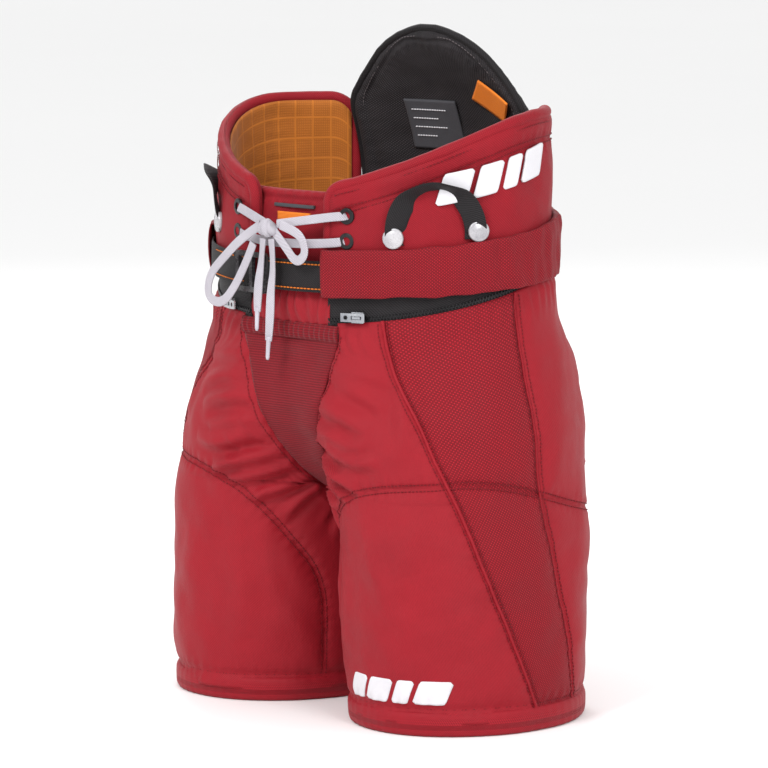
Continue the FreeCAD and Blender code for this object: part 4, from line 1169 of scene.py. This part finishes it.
def spine_pad():
    rows, cols = 84, 92
    share = np.sin(np.linspace(0, 1, rows) * math.pi / 2)[:, None] * np.ones(cols)
    z = SPINE_LOW_Z - 0.006 + share * (SPINE_TOP_Z - SPINE_LOW_Z + 0.005)
    x = np.linspace(-1, 1, cols)[None, :] * spine_half(share)
    middle = spine_point(x, z, -SPINE_THICK / 2)
    normals = unit(np.cross(np.gradient(middle, axis=1), np.gradient(middle, axis=0)))
    normals *= np.sign(normals[..., 1:2])
    heights = np.linspace(0.02, 0.93, 60)
    inset = spine_half(heights) - 0.013
    left = spine_point(inset, spine_z(heights), -SPINE_THICK / 2)
    arch = np.linspace(1, -1, 24)[1:-1]
    crown = spine_point(inset[-1] * arch, spine_z(0.93 + 0.015 * (1 - arch ** 2)), -SPINE_THICK / 2)
    right = left[::-1] * np.array([-1, 1, 1])
    border = np.vstack([left, crown, right])
    pad = pillow("spine_cloth", middle, -normals, 0.0072, 0.0068, BLACK_MESH, edge=0.008, seed=81, soft=0.0016,
                 seams=[border], puff=0.0022)
    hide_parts("spine_pad_outer", "spine_pad_inner")
    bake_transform(pad)
    heights = np.linspace(0.02, 0.995, 90)
    left = spine_point(spine_half(heights), spine_z(heights), -SPINE_THICK / 2)
    path = resample(np.vstack([left, left[::-1] * np.array([-1, 1, 1])]), 0.003)
    up = unit(np.cross(np.gradient(path, axis=0), np.array([0.0, 1.0, 0.35])))
    piping = tube("spine_piping", path, 0.0036, WEBBING, up=up)
    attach(piping, "spine_pad")
    return border


def around_patch(name, node, phi, low, high, out, thick, edge, soft):
    """Padded band round the waist oval between two heights."""
    z = low + over_rows(0, 1, len(phi)) * (high - low)
    middle, normals = oval_grid(phi, z, out)
    piece = pillow(name, middle, normals, thick / 2, thick / 2, BLACK_MESH, edge=edge, seed=90, soft=soft)
    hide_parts(node)
    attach(piece, "waist")
    return piece


def oval_y(phi):
    return WAIST_Y + WAIST_B * np.sin(phi)


tongue()
SPINE_BORDER = spine_pad()
edge_phi = math.acos(0.1215 / WAIST_A)
phi = over_cols(edge_phi, math.pi - edge_phi, 40, 120)
lumbar = around_patch("lumbar_cloth", "lumbar_pad", phi, tunnel_bottom(oval_y(phi)) + 0.006, 0.4828,
                      -0.006, 0.0112, edge=0.006, soft=0.0008)
edge_phi = math.acos(0.086 / WAIST_A)
phi = over_cols(-edge_phi, math.pi + edge_phi, 14, 260)
belt_low = tunnel_bottom(oval_y(phi))
around_patch("waist_liner_cloth", "waist_liner", phi, belt_low + 0.002, belt_low + 0.029,
             -0.0145, 0.0026, edge=0.003, soft=0.0004)


def gathered_front():
    """Soft gathered cloth between the elastic and the belt at the front."""
    rows, cols = 24, 200
    x = over_cols(-0.0535, 0.0535, rows, cols)
    t = np.linspace(0, 1, rows)[:, None]
    z = 0.3665 + t * (0.402 - 0.3665) + 0 * x
    low_y = body_point(phi_of_x_front(np.full_like(x, 0.0625), np.full_like(x, 0.366)), 0.366)[..., 1] + 0.001
    high_y = flat_front(x, z, -0.006)[..., 1]
    y = low_y * (1 - smooth(t)) + high_y * smooth(t)
    place = np.stack([x, y, z], axis=-1)
    gather = np.sin(x * TAU / 0.0125 + 1.4 * value_noise(place, 0.03, 15)) * (0.3 + 0.7 * t)
    bulge = 0.0045 * np.sin(math.pi * t) + 0.0016 * gather
    outer = place - np.array([0, 1, 0]) * bulge[..., None]
    piece = slab("front_gathers", outer, outer + np.array([0, 0.0022, 0]), NYLON)
    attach(piece, "waist")


gathered_front()


# ---------------------------------------------------------------- belt, tunnels and zips

def belt_tunnel(side):
    """Mesh sleeve that the belt runs through, closed behind and open at its front end."""
    start = float(waist_phi_front(0.050)) if side == "left" else math.asin((-0.064 - WAIST_Y) / WAIST_B)
    cols, ring = 210, 40
    phi = np.linspace(start, math.pi / 2 - 0.001, cols)
    y = oval_y(phi)
    low, high = tunnel_bottom(y), tunnel_top(y)
    middle_z, half_z = (low + high) / 2, (high - low) / 2
    turn = math.pi + np.linspace(0, TAU, ring, endpoint=False)
    seed = 101 if side == "left" else 107
    grids = []
    for wall in (0.0, 0.0013):
        rings = []
        for angle in turn:
            c, s = math.cos(angle), math.sin(angle)
            out = 0.0055 + rounded(c, 0.42) * (0.0043 - wall)
            z = middle_z + rounded(s, 0.62) * (half_z - wall)
            place = waist_point(phi, z, out)
            lip = np.exp(-((np.abs(s) - 0.78) / 0.16) ** 2)
            ruck = 0.0011 * value_noise(place * np.array([1, 1, 0.35]), 0.016, seed)
            ruck = ruck + 0.0009 * value_noise(place, 0.045, seed + 1)
            if c > 0.05:
                out = out + ruck - 0.0003 * lip
            rings.append(waist_point(phi, z + 0.0008 * value_noise(place, 0.03, seed + 2), out))
        grids.append(np.stack(rings, axis=1))
    outer, inner = grids
    count = cols * ring
    faces = grid_faces(cols, ring, wrap=True) + grid_faces(cols, ring, count, flip=True, wrap=True)
    for row in (0, cols - 1):
        for c in range(ring):
            a, b = row * ring + c, row * ring + (c + 1) % ring
            quad = (a, b, b + count, a + count)
            faces.append(quad[::-1] if row == 0 else quad)
    verts = side_out(np.vstack([outer.reshape(-1, 3), inner.reshape(-1, 3)]), side)
    if side == "left":
        faces = [face[::-1] for face in faces]
    arc = travelled(outer[:, 0])
    rim = travelled(outer[cols // 2])
    uv = np.stack(np.broadcast_arrays(arc[:, None], rim[None, :]), axis=-1).reshape(-1, 2)
    sleeve = make_mesh("tunnel_cloth_" + side, verts, faces, TUNNEL, np.vstack([uv, uv]))
    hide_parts("belt_tunnel_" + side)
    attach(sleeve, "waist")


for side in SIDES:
    belt_tunnel(side)


def webbing_band():
    start = -math.pi / 2 + math.asin(-0.0315 / WAIST_A)
    end = 1.5 * math.pi + math.asin(-0.0365 / WAIST_A)
    rows, cols = 16, 420
    phi = over_cols(start, end, rows, cols)
    z = tunnel_bottom(oval_y(phi)) + BELT_LIFT + over_rows(0, BELT_WIDTH, rows)
    share = np.linspace(-1, 1, rows)[:, None]
    wave = 0.0004 * value_noise(waist_point(phi, z), 0.05, 13)
    outer = waist_point(phi, z, 0.0064 + wave - 0.0006 * share ** 8)
    inner = waist_point(phi, z, 0.0046 + wave + 0.0003 * share ** 8)
    band = slab("belt_band", outer, inner, WEBBING)
    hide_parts("belt_webbing")
    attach(band, "waist")
    rows, cols = 16, 70
    x = over_cols(-0.118, -0.064, rows, cols)
    close = np.clip((x + 0.118) / 0.009, 0, 1)
    half = BELT_WIDTH / 2 * (0.45 * np.sqrt(1 - (1 - close) ** 2) + 0.55)
    y = front_y(x)
    z = tunnel_bottom(y) + BELT_LIFT + BELT_WIDTH / 2 + over_rows(-1, 1, rows) * half
    outer = flat_front(x, z, 0.0090)
    inner = flat_front(x, z, 0.0070)
    tail = slab("belt_tail_band", outer, inner, WEBBING)
    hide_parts("belt_tail")
    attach(tail, "belt_tail")
    rows_front, rows_tail = [], []
    for offset in (0.0032, 0.0258):
        for low, high, count, proud, rows in (
            (-0.116, -0.052, 50, 0.0067, rows_front),
            (-0.016, 0.056, 50, 0.0067, rows_front),
            (-0.111, -0.066, 30, 0.0091, rows_tail),
        ):
            x = np.linspace(low, high, count)
            z = tunnel_bottom(front_y(x)) + BELT_LIFT + offset
            rows.append((flat_front(x, z, proud), front_normals(x, z)))
    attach(stitches("belt_stitches", rows_front, ORANGE_THREAD, 0.0042, 0.0034, 0.0006), "waist")
    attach(stitches("belt_tail_stitches", rows_tail, ORANGE_THREAD, 0.0042, 0.0034, 0.0006), "belt_tail")


webbing_band()


BLOCK_FACES = ((0, 1, 3, 2), (4, 6, 7, 5), (0, 4, 5, 1), (2, 3, 7, 6), (0, 2, 6, 4), (1, 5, 7, 3))


def zip_band(side):
    """Zip tape under the belt tunnel, and its two rows of teeth."""
    phi = np.linspace(float(waist_phi_front(0.0515)), math.asin((0.007 - WAIST_Y) / WAIST_B), 120)
    rows = 14
    y = oval_y(phi)
    low, high = shell_top(y) - 0.001, tunnel_bottom(y) + 0.004
    grid_phi = phi[None, :] * np.ones((rows, 1))
    z = low + np.linspace(0, 1, rows)[:, None] * (high - low)
    outer, inner = waist_point(grid_phi, z, -0.0006), waist_point(grid_phi, z, -0.0026)
    if side == "right":
        outer, inner = mirror_grid(outer), mirror_grid(inner)
    tape = slab("zip_tape_cloth_" + side, outer, inner, WEBBING)
    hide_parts("zip_tape_" + side)
    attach(tape, "waist")
    line = resample(waist_point(phi, shell_top(y) + 0.004, 0.0), 0.0016)
    verts, faces = [], []
    for k in range(1, len(line) - 1):
        ahead = unit(line[k + 1] - line[k - 1])
        out = oval_outward(line[k])
        up = np.cross(out, ahead)
        centre = line[k] + up * (0.0007 if k % 2 else -0.0007)
        base = len(verts)
        for a in (-1, 1):
            for b in (-1, 1):
                for c in (-1, 1):
                    verts.append(centre + ahead * 0.00055 * a + out * 0.0008 * b + up * 0.0014 * c)
        faces += [tuple(base + i for i in face) for face in BLOCK_FACES]
    teeth = make_mesh("zip_teeth_" + side, side_out(np.array(verts), side), faces, BLACK_METAL,
                      smooth_shade=False)
    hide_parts("zip_coils")
    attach(teeth, "waist")


for side in SIDES:
    zip_band(side)


# ---------------------------------------------------------------- suspender loops

FOOT_FRONT = np.array([0.115, -0.094])
FOOT_BACK = np.array([0.170, -0.041])


def suspender_loop(side):
    """Folded webbing loop: its two feet lie flat on the wing and its top rolls over to stand out."""
    middle = (FOOT_FRONT + FOOT_BACK) / 2
    along = unit(FOOT_BACK - FOOT_FRONT)
    out = np.array([along[1], -along[0]])
    angles = np.linspace(math.pi, 0, 110)
    lean = np.sin(angles) ** 0.6
    level = middle + along * np.cos(angles)[:, None] * 0.0365 + out * (0.0022 + 0.0065 * lean)[:, None]
    arch = np.column_stack([level[:, 0], level[:, 1] + SHIFT_Y, 0.4600 + 0.0420 * np.sin(angles)])
    foot = np.linspace(1, 0, 12)[:-1, None]
    start = arch[0] - np.array([0, 0, 0.012]) * foot
    finish = (arch[-1] - np.array([0, 0, 0.006]) * foot)[::-1]
    path = resample(np.vstack([start, arch, finish]), 0.0014)
    outward = np.array([out[0], out[1], 0.0])
    t = np.linspace(0, 1, len(path))
    turn = math.radians(66) * np.exp(-((t - 0.5) / 0.19) ** 4) + 0.12 * np.sin(t * 11)
    sideways = unit(np.cross(outward, np.gradient(path, axis=0)))
    normals = np.cos(turn)[:, None] * outward - np.sin(turn)[:, None] * sideways
    path, normals = side_out(path, side), side_out(normals, side)
    band, _ = ribbon("loop_band_" + side, path, normals, 0.0205, 0.0024, WEBBING)
    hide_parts("suspender_loop_" + side)
    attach(band, "suspender_loop_" + side)


DOME = (
    (0.0094, 0.0), (0.0098, 0.0030), (0.0097, 0.0046), (0.0088, 0.0056), (0.0078, 0.0052), (0.0066, 0.0056),
    (0.0044, 0.0064), (0.0016, 0.0067),
)


def button_heads():
    """Domed button heads that hold the feet of the loops."""
    for side in SIDES:
        for k, (foot, z) in enumerate(((FOOT_FRONT, 0.4545), (FOOT_BACK, 0.4615))):
            slope = oval_outward(foot)
            flat = np.array([-slope[1], slope[0], 0.0])
            centre = np.array([foot[0], foot[1] + SHIFT_Y, z])
            turn = np.linspace(0, TAU, 40, endpoint=False)[:, None]
            round_dome = np.cos(turn) * flat + np.sin(turn) * np.array([0, 0, 1.0])
            rings = [centre + slope * height + radius * round_dome for radius, height in DOME]
            faces = grid_faces(8, 40, wrap=True, flip=side == "right")
            ends = [tuple(reversed(range(40))), tuple(range(280, 320))]
            faces += [face[::-1] for face in ends] if side == "right" else ends
            head = make_mesh(f"button_head_{side}_{k}", side_out(np.vstack(rings), side), faces, PEARL)
            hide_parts("suspender_buttons")
            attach(head, "waist")


button_heads()
for side in SIDES:
    suspender_loop(side)


# ---------------------------------------------------------------- stitching, marks and labels

MEAN_RADIUS = 0.14

def shell_row(side, pairs, lift=0.0004):
    return cloth_point(side, pairs[:, 0], pairs[:, 1], lift), cloth_normal(side, pairs[:, 0], pairs[:, 1])


def beside(pairs, gap):
    """The same seam moved sideways on the cloth."""
    step = np.gradient(pairs, axis=0)
    turned = gap * unit(np.stack([-step[:, 1], step[:, 0] * MEAN_RADIUS], axis=1))
    return pairs + turned / np.array([MEAN_RADIUS, 1.0])


for side in SIDES:
    ring = np.stack([np.linspace(-math.pi, math.pi, 260), np.full(260, HEM_STITCH_Z)], axis=1)
    rows = [shell_row(side, ring)]
    for line in (FRONT_LINE, BACK_LINE):
        rows.append(shell_row(side, beside(line, 0.0042)))
        rows.append(shell_row(side, beside(line, -0.0042)))
    rows.append(shell_row(side, beside(PAD_LINE, 0.0028)))
    rows.append(shell_row(side, beside(PAD_LINE, -0.0028)))
    rows.append(shell_row(side, beside(GUSSET_LINE, -0.0040)))
    rows.append(shell_row(side, SEAT_LINE - np.array([0.03, 0.0])))
    to_leg(stitches("shell_stitches_" + side, rows, RED_THREAD, 0.0036, 0.0026, 0.0005))

rows = []
for side in SIDES:
    phi = np.linspace(WING_FRONT_PHI + 0.05, WING_BACK_PHI - 0.05, 90)
    for drop in (0.0105, 0.0235, 0.0285):
        path, normals = oval_patch(side, phi[None, :], (wing_edge_top(phi) - drop)[None, :], 0.0004)
        rows.append((path[0], normals[0]))
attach(stitches("wing_stitches", rows, RED_THREAD, 0.0036, 0.0026, 0.0005), "waist")

border_normal = np.broadcast_to(np.array([0.0, -1.0, -0.3]), SPINE_BORDER.shape)
border_row = (SPINE_BORDER - np.array([0, 0.0068, 0]), border_normal)
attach(stitches("spine_stitches", [border_row], GREY_THREAD, 0.0040, 0.0028, 0.0005), "spine_pad")


def block_mark(name, side, centre_phi, low_z, high_z, blocks, lift, body, place):
    """Plain raised blocks where a printed mark would be."""
    for k, (start, end) in enumerate(blocks):
        cols, rows = 16, 14
        u = over_cols(start, end, rows, cols)
        v = over_rows(0, 1, rows, cols)
        corner = np.minimum(np.minimum(u - start, end - u) / 0.004, 1.0)
        inset = 0.003 * (1 - np.sqrt(1 - (1 - np.clip(corner, 0, 1)) ** 2))
        z = low_z + inset + v * (high_z - low_z - 2 * inset)
        u = u + 0.007 * (v - 0.5)
        outer, inner = place(side, centre_phi, u, z, lift), place(side, centre_phi, u, z, lift - 0.0022)
        if side == "right":
            outer, inner = outer[:, ::-1], inner[:, ::-1]
        piece = slab(f"{name}_{k}", outer, inner, PRINT)
        if body == "waist":
            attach(piece, body)
        else:
            to_leg(piece)


def on_leg(side, centre_phi, u, z, lift):
    return cloth_point(side, centre_phi + u / 0.112, z, lift)


def on_wing(side, centre_phi, u, z, lift):
    phi = centre_phi + u / 0.150
    y = oval_y(phi)
    return side_out(waist_point(phi, z + 0.26 * (y - oval_y(centre_phi)), lift), side)


block_mark("leg_mark", "left", math.radians(-80), 0.030, 0.052,
           [(-0.058, -0.034), (-0.029, -0.001), (0.004, 0.022), (0.027, 0.060)], 0.0008, "leg", on_leg)
block_mark("wing_mark", "left", math.radians(-14), 0.496, 0.524,
           [(-0.056, -0.026), (-0.020, 0.006), (0.012, 0.030), (0.036, 0.066)], 0.0038, "waist", on_wing)


def label_and_tag():
    """Plain care label and woven tag on the inner face of the spine pad."""
    rows, cols = 20, 34
    x = over_cols(-0.054, 0.008, rows, cols)
    z = over_rows(0.519, 0.567, rows, cols)
    grid = spine_point(x, z, -SPINE_THICK)
    normals = np.array([0.0, -1.0, -0.45])
    label = slab("care_label_cloth", grid + normals * 0.0042, grid + normals * 0.0026, LABEL)
    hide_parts("care_label")
    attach(label, "spine_pad")
    corners = np.array([(0.036, 0.571), (0.056, 0.590), (0.100, 0.570), (0.082, 0.551)])
    u, v = np.meshgrid(np.linspace(0, 1, 20), np.linspace(0, 1, 10))
    spot = (corners[0] * ((1 - u) * (1 - v))[..., None] + corners[1] * ((1 - u) * v)[..., None]
            + corners[2] * (u * v)[..., None] + corners[3] * (u * (1 - v))[..., None])
    grid = spine_point(spot[..., 0], spot[..., 1], -SPINE_THICK)
    tag = slab("woven_tag_cloth", grid + normals * 0.0044, grid + normals * 0.0028, TAG)
    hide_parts("woven_tag")
    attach(tag, "spine_pad")
    bars = []
    for k, end in enumerate((-0.004, -0.016, -0.008, -0.024)):
        z = np.full(20, 0.5575 - 0.0085 * k)
        path = spine_point(np.linspace(-0.048, end, 20), z, -SPINE_THICK) + normals * 0.0043
        bars.append((path, np.broadcast_to(normals, path.shape)))
    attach(stitches("label_lines", bars, PRINT, 0.0030, 0.0024, 0.0007), "spine_pad")


label_and_tag()


# ---------------------------------------------------------------- parts that keep their own mesh

def finish_cad(name, material, bevel=0.0):
    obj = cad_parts[name]
    obj.data.materials.clear()
    obj.data.materials.append(material)
    if bevel:
        modifier = obj.modifiers.new("rounded", "BEVEL")
        modifier.width = bevel
        modifier.segments = 3
        modifier.limit_method = "ANGLE"
        modifier.angle_limit = math.radians(40)


finish_cad("buckle_frame", BLACK_PLASTIC, 0.0009)
finish_cad("eyelets", BLACK_METAL, 0.0005)
finish_cad("spine_plate", GUARD)
finish_cad("tailbone_pad", FOAM)
for side in SIDES:
    finish_cad("zip_slider_" + side, SILVER, 0.0006)
    finish_cad("zip_pull_" + side, SILVER, 0.0004)
    finish_cad("hip_guard_" + side, GUARD)
    finish_cad("thigh_guard_" + side, GUARD)
    finish_cad("thigh_foam_" + side, FOAM)
